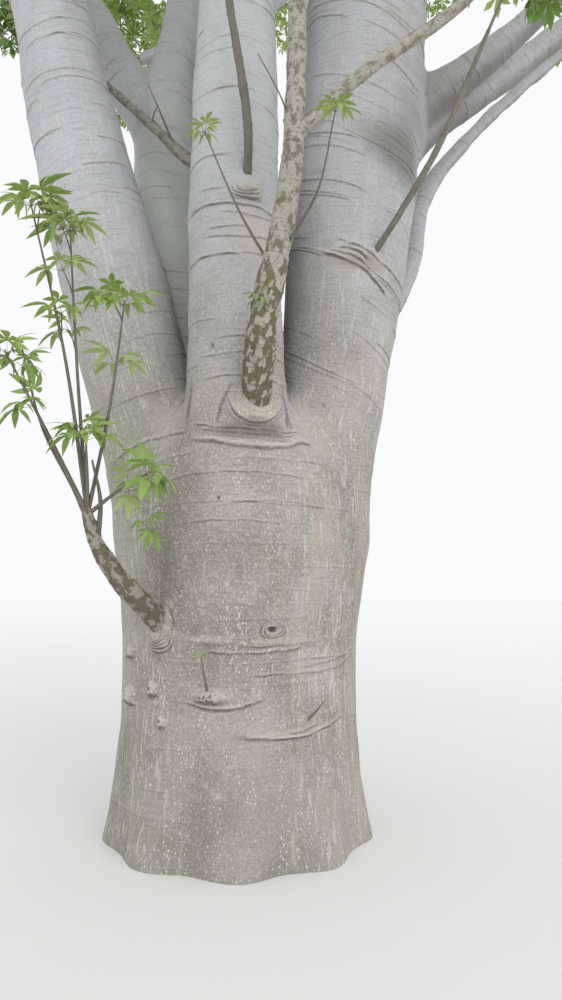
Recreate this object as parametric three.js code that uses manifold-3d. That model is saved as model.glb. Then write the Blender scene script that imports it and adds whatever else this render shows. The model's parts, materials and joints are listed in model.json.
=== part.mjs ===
// A baobab tree with a broad grey trunk that divides low down into upright boughs, each ending in an open
// mass of digitate leaves. Millimetres, +Z up, -Y is the front. The origin is the middle of the flat cut at
// the ground.
import * as THREE from "three";
import { mergeVertices } from "three/addons/utils/BufferGeometryUtils.js";
import Module from "manifold-3d";

const wasm = await Module();
wasm.setup();

// Driving sizes of the trunk
const WAIST_RADIUS = 693; // the trunk's narrowest stretch
const WAIST_HEIGHT = 850;
const FORK_HEIGHT = 2350; // where the trunk ends and the boughs begin
const FORK_RADIUS = 858;
const FOOT_FLARE = 68; // how far the foot stands out past the waist
const WIDENING_POWER = 1.7;
const FLARE_POWER = 1.6;
const GAP = 0.3; // clearance between neighbouring pieces
const WELD = 0.001; // corners nearer than this are one corner

// Root lobes round the foot, and the grooves that run down from the fork between the boughs
const ROOT_LOBES = 9;
const ROOT_LOBE_DEPTH = 30;
const ROOT_LOBE_HEIGHT = 260;
const ROOT_NOTCH_AZIMUTH = -68;
const LOBES_START_HEIGHT = 1100;
const LOBE_MARGIN = 18;
const LOBE_FLOOR = 0.84; // a groove at the fork is no deeper than this share of the fork's radius

// Facets
const TRUNK_SIDES = 42;
const TRUNK_STEPS = 10;
const STOUT_RADIUS = 150; // a limb that starts stouter than this has more sides
const STOUT_SIDES = 11;
const SLIM_SIDES = 7;
const LIMB_STEPS = 6;

// The boughs. Each starts at its foot in the trunk's top, or on its parent's centre line at the share of the
// parent's way that leaves gives, passes through its points, and ends where it enters its mass of foliage.
// The radii are those at its start, at each point and at its end.
const BOUGHS = {
  bough_centre: {
    foot: [0, -480, 2200],
    through: [[-22, -500, 3700], [-20, -500, 4950], [-120, -560, 6800]],
    radii: [288, 254, 226, 165, 85],
  },
  bough_left: {
    foot: [-500, -80, 2200],
    through: [[-770, -120, 3200], [-1115, -120, 4540], [-1330, -130, 5550]],
    radii: [318, 326, 268, 235, 85],
  },
  bough_right: {
    foot: [500, -30, 2200],
    through: [[637, -50, 3235], [700, -50, 3950], [821, -50, 5300]],
    radii: [322, 366, 414, 388, 90],
  },
  bough_rear_left: {
    foot: [-340, 380, 2200],
    through: [[-530, 350, 3700], [-585, 420, 4610], [-474, 500, 5770]],
    radii: [262, 218, 196, 118, 65],
  },
  bough_rear: {
    foot: [20, 520, 2200],
    through: [[-60, 700, 4200], [-80, 850, 5700]],
    radii: [280, 200, 165, 65],
  },
  bough_rear_right: {
    foot: [430, 400, 2200],
    through: [[600, 560, 4000], [740, 700, 5400]],
    radii: [272, 215, 175, 70],
  },
  bough_left_outer: {
    parent: "bough_left",
    leaves: 0.68,
    through: [[-1900, -420, 5950]],
    radii: [185, 140, 70],
  },
  bough_left_front: {
    parent: "bough_left",
    leaves: 0.75,
    through: [[-1500, -700, 6050]],
    radii: [165, 125, 65],
  },
  bough_rear_left_outer: {
    parent: "bough_rear_left",
    leaves: 0.49,
    through: [[-954, 500, 5209], [-1251, 560, 5769]],
    radii: [170, 155, 140, 65],
  },
  bough_rear_side: {
    parent: "bough_rear",
    leaves: 0.66,
    through: [[-450, 1500, 6250]],
    radii: [130, 105, 60],
  },
  bough_centre_front: {
    parent: "bough_centre",
    leaves: 0.68,
    through: [[-220, -1150, 6950]],
    radii: [150, 115, 60],
  },
  bough_right_outer: {
    parent: "bough_right",
    leaves: 0.8,
    through: [[1300, -420, 7000]],
    radii: [230, 160, 65],
  },
  bough_right_front: {
    parent: "bough_right",
    leaves: 0.77,
    through: [[1000, -950, 6500]],
    radii: [200, 125, 60],
  },
  bough_right_rear: {
    parent: "bough_right",
    leaves: 0.86,
    through: [[1700, 330, 7350]],
    radii: [170, 125, 60],
  },
  limb_upper: {
    parent: "bough_right",
    leaves: 0.54,
    through: [[1200, -120, 4530], [1838, -250, 5003]],
    radii: [190, 120, 90, 50],
  },
  limb_lower: {
    parent: "bough_right",
    leaves: 0.51,
    through: [[1192, 20, 4420], [1997, 180, 5090]],
    radii: [170, 112, 86, 50],
  },
  limb_far_right: {
    parent: "bough_rear_right",
    leaves: 0.09,
    through: [[1138, 500, 3598], [1292, 600, 4254], [1702, 750, 4844]],
    radii: [95, 76, 70, 56, 40],
  },
};

// The long shoots that rise from old collars in the bark, starting inside the trunk or a bough
const SHOOTS = {
  centre_shoot: {
    foot: [110, -640, 2330],
    through: [[154, -950, 2726], [294, -1100, 3436], [336, -1120, 4380]],
    radii: [150, 74, 55, 46, 24],
  },
  centre_shoot_fork: {
    parent: "centre_shoot",
    leaves: 0.56,
    through: [[634, -1200, 3912], [1132, -1300, 4226]],
    radii: [36, 33, 27, 16],
  },
  upper_shoot: {
    foot: [50, -620, 3560],
    through: [[74, -860, 3854], [-25, -950, 4526]],
    radii: [62, 25, 20, 12],
  },
  crotch_shoot: {
    foot: [-90, -390, 3930],
    through: [[-317, -150, 4105], [-617, 20, 4470], [-1147, 230, 5045]],
    radii: [80, 40, 30, 20, 12],
  },
  right_shoot: {
    foot: [730, -300, 3300],
    through: [[929, -550, 3553], [1115, -700, 3846]],
    radii: [60, 23, 18, 11],
  },
  low_left_branch: {
    foot: [-330, -430, 1130],
    through: [[-459, -690, 1337], [-561, -820, 1473]],
    radii: [105, 64, 50, 38],
    end: [-655, -930, 1640],
  },
};

// The masses of foliage, each grown on from the end of its limb. Its space is a ball flattened upwards by
// SPACE_HEIGHT, and where two balls meet, the plane between them parts them.
const SPACE_HEIGHT = 0.86;
const LIMB_REACH = 0.72; // a limb ends at this share of its mass's radius from the mass's middle
const CROWN_LEAF = 580; // length of a leaflet, each leaf standing for a spray
const CROWN_LEAVES = 11;
const MASSES = {
  foliage_centre: { limb: "bough_centre", centre: [-250, -700, 10050], radius: 1600, seed: 11 },
  foliage_left: { limb: "bough_left", centre: [-2400, -500, 8850], radius: 1550, seed: 12 },
  foliage_right: { limb: "bough_right", centre: [1150, 350, 10350], radius: 1550, seed: 13 },
  foliage_rear_left: { limb: "bough_rear_left", centre: [-850, 1850, 9450], radius: 1550, seed: 14 },
  foliage_rear: { limb: "bough_rear", centre: [700, 3400, 8750], radius: 1500, seed: 15 },
  foliage_rear_right: { limb: "bough_rear_right", centre: [2450, 2650, 8750], radius: 1550, seed: 16 },
  foliage_left_outer: { limb: "bough_left_outer", centre: [-3750, -1050, 7550], radius: 1450, seed: 17 },
  foliage_left_front: { limb: "bough_left_front", centre: [-2350, -2600, 7500], radius: 1450, seed: 18 },
  foliage_rear_left_outer: {
    limb: "bough_rear_left_outer",
    centre: [-2850, 2050, 8050],
    radius: 1500,
    seed: 19,
  },
  foliage_rear_side: { limb: "bough_rear_side", centre: [-1650, 3650, 7600], radius: 1350, seed: 20 },
  foliage_centre_front: { limb: "bough_centre_front", centre: [-650, -2750, 8750], radius: 1400, seed: 21 },
  foliage_right_outer: { limb: "bough_right_outer", centre: [2700, -1650, 8950], radius: 1450, seed: 22 },
  foliage_right_front: { limb: "bough_right_front", centre: [1250, -3000, 8350], radius: 1350, seed: 23 },
  foliage_right_rear: { limb: "bough_right_rear", centre: [3050, 500, 9300], radius: 1400, seed: 27 },
  foliage_limb_upper: { limb: "limb_upper", centre: [3750, -1700, 7050], radius: 1350, seed: 24 },
  foliage_limb_lower: { limb: "limb_lower", centre: [4350, 350, 7050], radius: 1300, seed: 25 },
  foliage_far_right: { limb: "limb_far_right", centre: [3950, 2150, 7450], radius: 1300, seed: 26 },
  shoot_foliage: {
    limb: "centre_shoot",
    centre: [400, -1500, 6650],
    radius: 620,
    seed: 31,
    leaf: 240,
    leaves: 5,
  },
  fork_foliage: {
    limb: "centre_shoot_fork",
    centre: [2050, -1550, 5200],
    radius: 520,
    seed: 32,
    leaf: 200,
    leaves: 4,
  },
  upper_shoot_foliage: {
    limb: "upper_shoot",
    centre: [-220, -1150, 5950],
    radius: 430,
    seed: 33,
    leaf: 170,
    leaves: 4,
  },
  crotch_foliage: {
    limb: "crotch_shoot",
    centre: [-1750, 560, 5650],
    radius: 430,
    seed: 34,
    leaf: 170,
    leaves: 4,
  },
  right_shoot_foliage: {
    limb: "right_shoot",
    centre: [1500, -900, 4720],
    radius: 430,
    seed: 35,
    leaf: 170,
    leaves: 4,
  },
};

// Thin upright twigs on the shoots, each with a leaf at its end: those of one node share a short stem
const SPRIG_LEAF = 150;
const SPRIG_RADIUS = 13;
const SPRIG_TAPER = [0.8, 0.4]; // a twig's start and end as shares of that
const SPRIG_STEP = 0.04; // of the stem, between one twig's start and the next
const SPRIG_TURN = 1.9; // radians from one leaf's heading to the next
const SPRIGS = {
  low_left_sprigs: {
    limb: "low_left_branch",
    share: 1,
    stem: [-690, -980, 1790],
    tips: [
      [-506, -1100, 2823],
      [-738, -1250, 3128],
      [-911, -1300, 3224],
      [-678, -1100, 2164],
      [-377, -1050, 1990],
      [-1060, -1150, 2560],
    ],
  },
  centre_sprig_left: {
    limb: "centre_shoot",
    share: 0.36,
    stem: [43, -1030, 3307],
    tips: [[-133, -1050, 3714]],
  },
  centre_sprig_right: {
    limb: "centre_shoot",
    share: 0.4,
    stem: [421, -1300, 3273],
    tips: [[494, -1420, 3576]],
  },
};

const BARK = new THREE.MeshStandardMaterial({ color: 0x9c958e, roughness: 0.9, metalness: 0 });
const SHOOT_BARK = new THREE.MeshStandardMaterial({ color: 0x857d70, roughness: 0.9, metalness: 0 });
const LEAF = new THREE.MeshStandardMaterial({ color: 0x6f9a3c, roughness: 0.6, metalness: 0 });

const vector = (p) => new THREE.Vector3(...p);
const along = (from, to, share) => from.clone().lerp(to, share);
const { lerp, smoothstep, degToRad } = THREE.MathUtils;

// Evenly spread numbers from 0 to 1, the same for the same seed.
function seeded(seed) {
  let state = seed >>> 0;
  return () => {
    state = (Math.imul(state, 1664525) + 1013904223) >>> 0;
    return state / 4294967296;
  };
}

// A closed three.js geometry as a solid.
function solidOf(geometry) {
  const bare = geometry.index ? geometry.toNonIndexed() : geometry.clone();
  bare.deleteAttribute("normal");
  bare.deleteAttribute("uv");
  const merged = mergeVertices(bare, WELD);
  const mesh = new wasm.Mesh({
    numProp: 3,
    vertProperties: merged.attributes.position.array,
    triVerts: new Uint32Array(merged.index.array),
  });
  return new wasm.Manifold(mesh);
}

// The largest connected piece of a solid, so that a cut leaves no loose scrap.
function largest(solid) {
  return solid.decompose().reduce((best, piece) => (piece.volume() > best.volume() ? piece : best));
}

function meshOf(name, solid, material) {
  const { vertProperties, triVerts } = largest(solid).getMesh();
  const geometry = new THREE.BufferGeometry();
  geometry.setAttribute("position", new THREE.BufferAttribute(new Float32Array(vertProperties), 3));
  geometry.setIndex(new THREE.BufferAttribute(new Uint32Array(triVerts), 1));
  geometry.computeVertexNormals();
  const mesh = new THREE.Mesh(geometry, material);
  mesh.name = name;
  return mesh;
}

// A limb's centre line, and its radius at a share t of the way along.
const LIMBS = { ...BOUGHS, ...SHOOTS };
function limbLine(name) {
  const limb = LIMBS[name];
  const points = [limb.parent ? limbLine(limb.parent).curve.getPoint(limb.leaves) : vector(limb.foot)];
  points.push(...limb.through.map(vector));
  points.push(limb.end ? vector(limb.end) : massEntry(name, points[points.length - 1]));
  const curve = new THREE.CatmullRomCurve3(points, false, "centripetal");
  const last = limb.radii.length - 1;
  const radiusAt = (t) => {
    const step = Math.min(Math.floor(t * last), last - 1);
    return lerp(limb.radii[step], limb.radii[step + 1], t * last - step);
  };
  return { curve, radiusAt };
}

// Where the straight way from a limb's last point to the middle of its mass goes in among the foliage.
function massEntry(limbName, from) {
  const mass = Object.values(MASSES).find(({ limb }) => limb === limbName);
  const centre = vector(mass.centre);
  return along(centre, from, (LIMB_REACH * mass.radius) / centre.distanceTo(from));
}

// Points along a curve, each with its tangent and two directions square to it that turn as little as they
// can.
function framesAlong(curve, steps) {
  const frames = [];
  let across = new THREE.Vector3(1, 0, 0);
  for (let step = 0; step <= steps; step++) {
    const tangent = curve.getTangent(step / steps);
    across = across.clone().addScaledVector(tangent, -across.dot(tangent));
    if (across.length() < 0.1) across.set(0, 1, 0).addScaledVector(tangent, -tangent.y);
    across.normalize();
    const over = tangent.clone().cross(across);
    frames.push({ point: curve.getPoint(step / steps), tangent, across, over });
  }
  return frames;
}

// A tapering solid along a curve: the rings of a cylinder, set square to the curve, and all larger by grow.
function taperedSolid(curve, radiusAt, sides, steps, grow = 0) {
  const geometry = new THREE.CylinderGeometry(1, 1, 1, sides, steps);
  const frames = framesAlong(curve, steps);
  const position = geometry.attributes.position;
  for (let i = 0; i < position.count; i++) {
    const step = Math.round((position.getY(i) + 0.5) * steps);
    const { point, tangent, across, over } = frames[step];
    const radius = radiusAt(step / steps) + grow;
    const beyond = step === 0 ? -grow : step === steps ? grow : 0;
    const placed = point
      .clone()
      .addScaledVector(tangent, beyond)
      .addScaledVector(across, position.getX(i) * radius)
      .addScaledVector(over, -position.getZ(i) * radius);
    position.setXYZ(i, placed.x, placed.y, placed.z);
  }
  return solidOf(geometry);
}

function limbSolid(name, grow = 0) {
  const { curve, radiusAt } = limbLine(name);
  const sides = LIMBS[name].radii[0] > STOUT_RADIUS ? STOUT_SIDES : SLIM_SIDES;
  return taperedSolid(curve, radiusAt, sides, LIMB_STEPS, grow);
}

// The sections of the boughs where they leave the trunk
const sections = Object.keys(BOUGHS)
  .filter((name) => BOUGHS[name].foot)
  .map((name) => {
    const { curve, radiusAt } = limbLine(name);
    let t = 0;
    while (curve.getPoint(t).z < FORK_HEIGHT) t += 0.002;
    return { x: curve.getPoint(t).x, y: curve.getPoint(t).y, radius: radiusAt(t) + LOBE_MARGIN };
  });

// The trunk's outline where the boughs begin: the furthest edge of any bough's section in this direction.
function lobeRadius(angle) {
  const direction = new THREE.Vector2(Math.cos(angle), Math.sin(angle));
  let furthest = LOBE_FLOOR * FORK_RADIUS;
  for (const { x, y, radius } of sections) {
    const middle = new THREE.Vector2(x, y);
    const aside = Math.abs(middle.cross(direction));
    if (aside < radius) {
      furthest = Math.max(furthest, middle.dot(direction) + Math.sqrt(radius * radius - aside * aside));
    }
  }
  return furthest;
}

function trunkRadius(angle, height) {
  const above = Math.max(0, (height - WAIST_HEIGHT) / (FORK_HEIGHT - WAIST_HEIGHT));
  const below = Math.max(0, (WAIST_HEIGHT - height) / WAIST_HEIGHT);
  const widening = (FORK_RADIUS - WAIST_RADIUS) * above ** WIDENING_POWER;
  const round = WAIST_RADIUS + widening + FOOT_FLARE * below ** FLARE_POWER;
  const lobed = lerp(round, lobeRadius(angle), smoothstep(height, LOBES_START_HEIGHT, FORK_HEIGHT));
  const roots = -Math.cos(ROOT_LOBES * (angle - degToRad(ROOT_NOTCH_AZIMUTH)));
  return lobed + ROOT_LOBE_DEPTH * roots * Math.exp(-height / ROOT_LOBE_HEIGHT);
}

// The trunk from the flat cut at the ground to the fork, larger all round by grow.
function trunkSolid(grow = 0) {
  const geometry = new THREE.CylinderGeometry(1, 1, 1, TRUNK_SIDES, TRUNK_STEPS);
  const position = geometry.attributes.position;
  for (let i = 0; i < position.count; i++) {
    const height = (position.getY(i) + 0.5) * FORK_HEIGHT;
    const angle = Math.atan2(-position.getZ(i), position.getX(i));
    const onAxis = Math.hypot(position.getX(i), position.getZ(i)) < 0.5;
    const radius = onAxis ? 0 : trunkRadius(angle, height) + grow;
    position.setXYZ(i, radius * Math.cos(angle), radius * Math.sin(angle), height);
  }
  return solidOf(geometry);
}

// A digitate leaf at the end of its three-sided twig: five leaflets round a middle, drooping at their tips.
const LEAFLETS = 5;
// Each point of a leaflet's edge: degrees off its midrib, and how far out as a share of its length
const LEAFLET_OUTLINE = [[-36, 0.17], [-18, 0.56], [0, 1], [18, 0.56]];
const LEAF_HALF_THICKNESS = 0.03;
const LEAF_DROOP = 0.3;
const LEAF_UPTURN = 0.8; // how far a leaf turns from its twig's own direction towards the sky
const TWIG_CORNERS = 3;

function leafOnTwig({ from, to, thick, thin, heading, length }) {
  const direction = to.clone().sub(from).normalize();
  const normal = direction.clone().add(new THREE.Vector3(0, 0, LEAF_UPTURN)).normalize();
  const side = direction.clone().cross(normal);
  if (side.length() < 0.01) side.set(1, 0, 0);
  side.normalize();
  const round = (centre, axis, angle, radius) =>
    centre
      .clone()
      .addScaledVector(side, Math.cos(angle) * radius)
      .addScaledVector(axis.clone().cross(side), Math.sin(angle) * radius);
  const outline = [];
  for (let leaflet = 0; leaflet < LEAFLETS; leaflet++) {
    for (const [degrees, share] of LEAFLET_OUTLINE) {
      const angle = heading + degToRad(degrees + (360 / LEAFLETS) * leaflet);
      const point = round(to, normal, angle, share * length);
      outline.push({ angle, point: point.addScaledVector(normal, -LEAF_DROOP * share * share * length) });
    }
  }
  const top = to.clone().addScaledVector(normal, LEAF_HALF_THICKNESS * length);
  const under = to.clone().addScaledVector(normal, -LEAF_HALF_THICKNESS * length);
  const corner = (i) => round(under, direction, (2 * Math.PI * i) / TWIG_CORNERS, thin);
  const foot = (i) => round(from, direction, (2 * Math.PI * i) / TWIG_CORNERS, thick);
  const nearest = ({ angle }) => Math.round((angle * TWIG_CORNERS) / (2 * Math.PI));
  const faces = [];
  outline.forEach((here, i) => {
    const next = outline[(i + 1) % outline.length];
    faces.push(top, here.point, next.point, corner(nearest(here)), next.point, here.point);
    if (corner(nearest(here)).distanceTo(corner(nearest(next))) > 0.1 * thin) {
      faces.push(next.point, corner(nearest(here)), corner(nearest(here) + 1));
    }
  });
  for (let i = 0; i < TWIG_CORNERS; i++) {
    faces.push(corner(i + 1), corner(i), foot(i), corner(i + 1), foot(i), foot(i + 1));
  }
  faces.push(foot(0), foot(2), foot(1));
  const edge = outline.map(({ point }) => point);
  return { solid: solidOf(new THREE.BufferGeometry().setFromPoints(faces)), edge, top };
}

// Whether a point is inside a mass's space and on its own side of every neighbour's.
const SPACE_MARGIN = 12;
function inSpace(point, name) {
  const depth = (mass) => {
    const away = point.clone().sub(vector(mass.centre));
    away.z /= SPACE_HEIGHT;
    return away.lengthSq() - mass.radius ** 2;
  };
  const own = depth(MASSES[name]) + 2 * SPACE_MARGIN * MASSES[name].radius;
  return own < 0 && Object.keys(MASSES).every((other) => other === name || own < depth(MASSES[other]));
}

// The limbs' centre lines as points with radii, to keep twigs and leaves off them.
const LIMB_SAMPLES = 60;
const LIMB_MARGIN = 40;
const limbPoints = Object.keys(LIMBS).flatMap((name) => {
  const { curve, radiusAt } = limbLine(name);
  return Array.from({ length: LIMB_SAMPLES + 1 }, (_, i) => {
    const t = i / LIMB_SAMPLES;
    return { name, point: curve.getPoint(t), clearance: radiusAt(t) + LIMB_MARGIN };
  });
});
const clearOfLimbs = (point, besides) =>
  limbPoints.every((limb) => limb.name === besides || limb.point.distanceTo(point) > limb.clearance);

// The growing rule. The wood is a list of straight twigs. A new one springs from the place in the wood that
// is near its target and near the stem's foot, tapers, and ends at its target with a leaf.
const SPRING_SHARES = [0.25, 0.4, 0.55, 0.7, 0.85];
const STEM_PULL = 0.35;
function springPoint(wood, target) {
  const base = wood[0].from;
  let best = { cost: Infinity };
  for (const twig of wood) {
    for (const share of SPRING_SHARES) {
      const point = along(twig.from, twig.to, share);
      const cost = point.distanceTo(target) + STEM_PULL * point.distanceTo(base);
      if (cost < best.cost) best = { point, cost, radius: lerp(twig.thick, twig.thin, share) };
    }
  }
  return best;
}

// Places spread evenly through the outer part of a mass's space, turned and shaken by its seed, except for
// the bottom, where the limbs come in. Those nearest the stem come first.
const GOLDEN_TURN = Math.PI * (3 - Math.sqrt(5));
const TARGET_SHARE = 0.66; // how far out the leaves sit in the space
const TARGET_SHAKE = 0.12;
const TURN_SHAKE = 0.3; // radians
const LOWEST_TARGET = -0.55; // as a share of the space's height
function leafTargets(mass, stem) {
  const random = seeded(mass.seed);
  const turn = 2 * Math.PI * random();
  const count = mass.leaves ?? CROWN_LEAVES;
  const targets = [];
  for (let i = 0; i < count; i++) {
    const up = lerp(1, LOWEST_TARGET, (i + 0.1 + 0.8 * random()) / count);
    const flat = Math.sqrt(1 - up * up);
    const angle = turn + i * GOLDEN_TURN + TURN_SHAKE * (random() - 0.5);
    const reach = mass.radius * (TARGET_SHARE + TARGET_SHAKE * (random() - 0.5));
    const place = new THREE.Vector3(flat * Math.cos(angle), flat * Math.sin(angle), up * SPACE_HEIGHT);
    const to = vector(mass.centre).addScaledVector(place, reach);
    targets.push({ to, heading: 2 * Math.PI * random(), cost: springPoint(stem, to).cost });
  }
  return targets.sort((a, b) => a.cost - b.cost);
}

// The stem of a mass: two straight stretches, from just clear of the limb's end to near the middle of its
// space.
const STEM_SIDES = 5;
const STEM_SHARE = 0.8; // of the limb's end
const STEM_END = 0.96; // of the way to the middle
const STEM_BEND = 0.45; // of that way, run in the limb's own direction
const STEM_TIP = 1.6; // the stem's end is this many times as thick as a twig's start
const TWIG_RADIUS = 0.026; // of a leaflet's length, where a twig springs
const TWIG_END = 0.55; // a twig's end as a share of that
const TWIG_TAPER = 0.5; // a twig's start is at most this share of the wood that it springs from
function stemOf(mass) {
  const { curve, radiusAt } = limbLine(mass.limb);
  const tangent = curve.getTangent(1);
  const foot = curve.getPoint(1).addScaledVector(tangent, GAP);
  const centre = vector(mass.centre);
  const bend = foot.clone().addScaledVector(tangent, STEM_BEND * foot.distanceTo(centre));
  const line = new THREE.QuadraticBezierCurve3(foot, bend, along(foot, centre, STEM_END));
  const thin = TWIG_RADIUS * (mass.leaf ?? CROWN_LEAF);
  const stemRadius = (t) => lerp(STEM_SHARE * radiusAt(1), STEM_TIP * thin, t);
  const wood = [0, 0.5].map((t) => ({
    from: line.getPoint(t),
    to: line.getPoint(t + 0.5),
    thick: stemRadius(t),
    thin: stemRadius(t + 0.5),
  }));
  return { wood, solid: taperedSolid(line, stemRadius, STEM_SIDES, 2) };
}

// The leaf on its twig that reaches for a target, or nothing where it would leave the space, touch a limb or
// crowd a leaf that is there.
const LEAF_SPACING = 1.1; // between the middles of two leaves, as a share of a leaflet's length
function leafThatFits(name, mass, wood, to, heading) {
  const length = mass.leaf ?? CROWN_LEAF;
  const { point: from, radius } = springPoint(wood, to);
  const thick = Math.max(TWIG_RADIUS * length, TWIG_TAPER * radius);
  const thin = TWIG_END * TWIG_RADIUS * length;
  const leaf = leafOnTwig({ from, to, thick, thin, heading, length });
  const leafPoints = [leaf.top, ...leaf.edge, ...leaf.edge.map((point) => along(point, to, 0.5))];
  const twigPoints = SPRING_SHARES.map((share) => along(from, to, share));
  const fits =
    leafPoints.every((point) => inSpace(point, name) && clearOfLimbs(point)) &&
    twigPoints.every((point) => clearOfLimbs(point, mass.limb)) &&
    wood.every((twig) => !twig.bearsLeaf || twig.to.distanceTo(to) > LEAF_SPACING * length);
  return fits ? { solid: leaf.solid, twig: { from, to, thick, thin, bearsLeaf: true } } : null;
}

// The stem with its leaves. A leaf that doesn't fit is tried again nearer the middle, and then skipped.
const DRAWN_IN = [1, 0.86];
function massSolid(name, mass) {
  const { wood, solid: stem } = stemOf(mass);
  const centre = vector(mass.centre);
  let solid = stem;
  for (const { to, heading } of leafTargets(mass, wood)) {
    for (const share of DRAWN_IN) {
      const leaf = leafThatFits(name, mass, wood, along(centre, to, share), heading);
      if (!leaf) continue;
      solid = solid.add(leaf.solid);
      wood.push(leaf.twig);
      break;
    }
  }
  return solid;
}

// A few thin twigs on one short stem that starts at a share of a shoot's length.
function sprigSolid(sprig) {
  const { curve, radiusAt } = limbLine(sprig.limb);
  const foot = curve.getPoint(sprig.share);
  const top = vector(sprig.stem);
  const footRadius = sprig.share === 1 ? STEM_SHARE * radiusAt(1) : SPRIG_RADIUS;
  const stemRadius = (t) => lerp(footRadius, SPRIG_RADIUS, t);
  let solid = taperedSolid(new THREE.LineCurve3(foot, top), stemRadius, STEM_SIDES, 1);
  sprig.tips.forEach((tip, i) => {
    const from = along(foot, top, 1 - SPRIG_STEP * (1 + i));
    const [thick, thin] = SPRIG_TAPER.map((share) => share * SPRIG_RADIUS);
    const [to, heading] = [vector(tip), SPRIG_TURN * i];
    const leaf = leafOnTwig({ from, to, thick, thin, heading, length: SPRIG_LEAF });
    solid = solid.add(leaf.solid);
  });
  return solid.subtract(limbSolid(sprig.limb, GAP));
}

// The space under the fork, taken from every bough that stands on the trunk.
function belowFork() {
  const size = 6 * FORK_RADIUS;
  const box = new THREE.BoxGeometry(size, size, size);
  box.translate(0, 0, FORK_HEIGHT + GAP - size / 2);
  return solidOf(box);
}

const tree = new THREE.Group();
tree.name = "baobab_tree";
tree.add(meshOf("trunk", trunkSolid(), BARK));

// Each limb is cut clear of those before it, so a side bough fits against the one that carries it.
const before = [belowFork()];
function addLimb(name, material) {
  const cut = before.reduce((solid, neighbour) => solid.subtract(neighbour), limbSolid(name));
  tree.add(meshOf(name, cut, material));
  before.push(limbSolid(name, GAP));
}
Object.keys(BOUGHS).forEach((name) => addLimb(name, BARK));
before[0] = trunkSolid(GAP);
Object.keys(SHOOTS).forEach((name) => addLimb(name, SHOOT_BARK));

for (const [name, mass] of Object.entries(MASSES)) tree.add(meshOf(name, massSolid(name, mass), LEAF));
for (const [name, sprig] of Object.entries(SPRIGS)) tree.add(meshOf(name, sprigSolid(sprig), LEAF));

export default tree;
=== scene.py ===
"""The looks of a baobab tree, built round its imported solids: bark with its relief, and foliage that grows on
from the limbs by the rule of the part's source, carried to finer twigs and leaves. Metres, +Z up, -Y is the
front."""

import json
import math

import bmesh
import bpy
import numpy as np
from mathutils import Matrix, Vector

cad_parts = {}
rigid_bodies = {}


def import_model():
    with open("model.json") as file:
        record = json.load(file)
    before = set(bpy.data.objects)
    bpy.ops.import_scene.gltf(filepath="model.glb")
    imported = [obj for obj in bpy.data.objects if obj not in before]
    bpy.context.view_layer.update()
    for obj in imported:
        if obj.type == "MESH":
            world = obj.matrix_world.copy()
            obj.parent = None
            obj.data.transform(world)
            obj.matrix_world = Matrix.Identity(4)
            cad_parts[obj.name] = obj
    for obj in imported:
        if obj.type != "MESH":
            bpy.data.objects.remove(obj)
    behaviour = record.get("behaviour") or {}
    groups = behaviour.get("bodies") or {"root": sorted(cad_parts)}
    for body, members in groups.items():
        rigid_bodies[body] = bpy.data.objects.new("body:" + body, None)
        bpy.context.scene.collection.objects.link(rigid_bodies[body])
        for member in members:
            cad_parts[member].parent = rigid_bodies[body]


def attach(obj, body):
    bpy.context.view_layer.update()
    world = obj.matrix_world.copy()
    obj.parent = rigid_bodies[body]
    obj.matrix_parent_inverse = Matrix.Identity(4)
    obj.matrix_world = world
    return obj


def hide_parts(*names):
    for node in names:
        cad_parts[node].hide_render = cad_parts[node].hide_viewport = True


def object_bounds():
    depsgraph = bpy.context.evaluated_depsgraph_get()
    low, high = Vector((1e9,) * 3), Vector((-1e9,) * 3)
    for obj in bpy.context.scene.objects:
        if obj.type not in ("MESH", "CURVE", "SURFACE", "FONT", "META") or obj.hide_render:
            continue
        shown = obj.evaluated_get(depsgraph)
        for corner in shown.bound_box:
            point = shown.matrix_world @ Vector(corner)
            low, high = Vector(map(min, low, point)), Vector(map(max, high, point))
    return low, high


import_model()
cad_low, cad_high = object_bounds()
CAD_LOW, CAD_HIGH = np.array(cad_low), np.array(cad_high)

# Camera, floor and light
CAMERA_PLACE = (0.25, -4.48, 1.5)
CAMERA_PITCH = 5.9  # degrees above level
CAMERA_LENS = 26  # millimetres, for a sensor 36 mm along the picture's long side
FLOOR_SIZE = 80
FLOOR_COLOUR = (0.84, 0.84, 0.83)
FLOOR_DROP = 0.001  # the floor lies this far under the trunk's flat cut
SKY_COLOUR = (0.975, 0.985, 1.0)
SKY_STRENGTH = 0.98
# Each soft lamp: the way that its light falls, how wide it is in degrees and its strength
LIGHTS = {
    "key_light": ((-0.45, 0.75, -0.5), 45, 0.76),
    "fill_light": ((0.7, 0.6, -0.35), 80, 0.12),
    "front_light": ((0.05, 1.0, 0.25), 110, 0.35),
}

# The trunk
WAIST_RADIUS = 0.693
WAIST_HEIGHT = 0.85
FORK_HEIGHT = 2.35
FORK_RADIUS = 0.858
FOOT_FLARE = 0.068
WIDENING_POWER = 1.7
FLARE_POWER = 1.6
ROOT_LOBES = 9
ROOT_LOBE_DEPTH = 0.03
ROOT_LOBE_HEIGHT = 0.26
ROOT_NOTCH_AZIMUTH = -68
TRUNK_TOP_BLEND = 0.12

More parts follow.
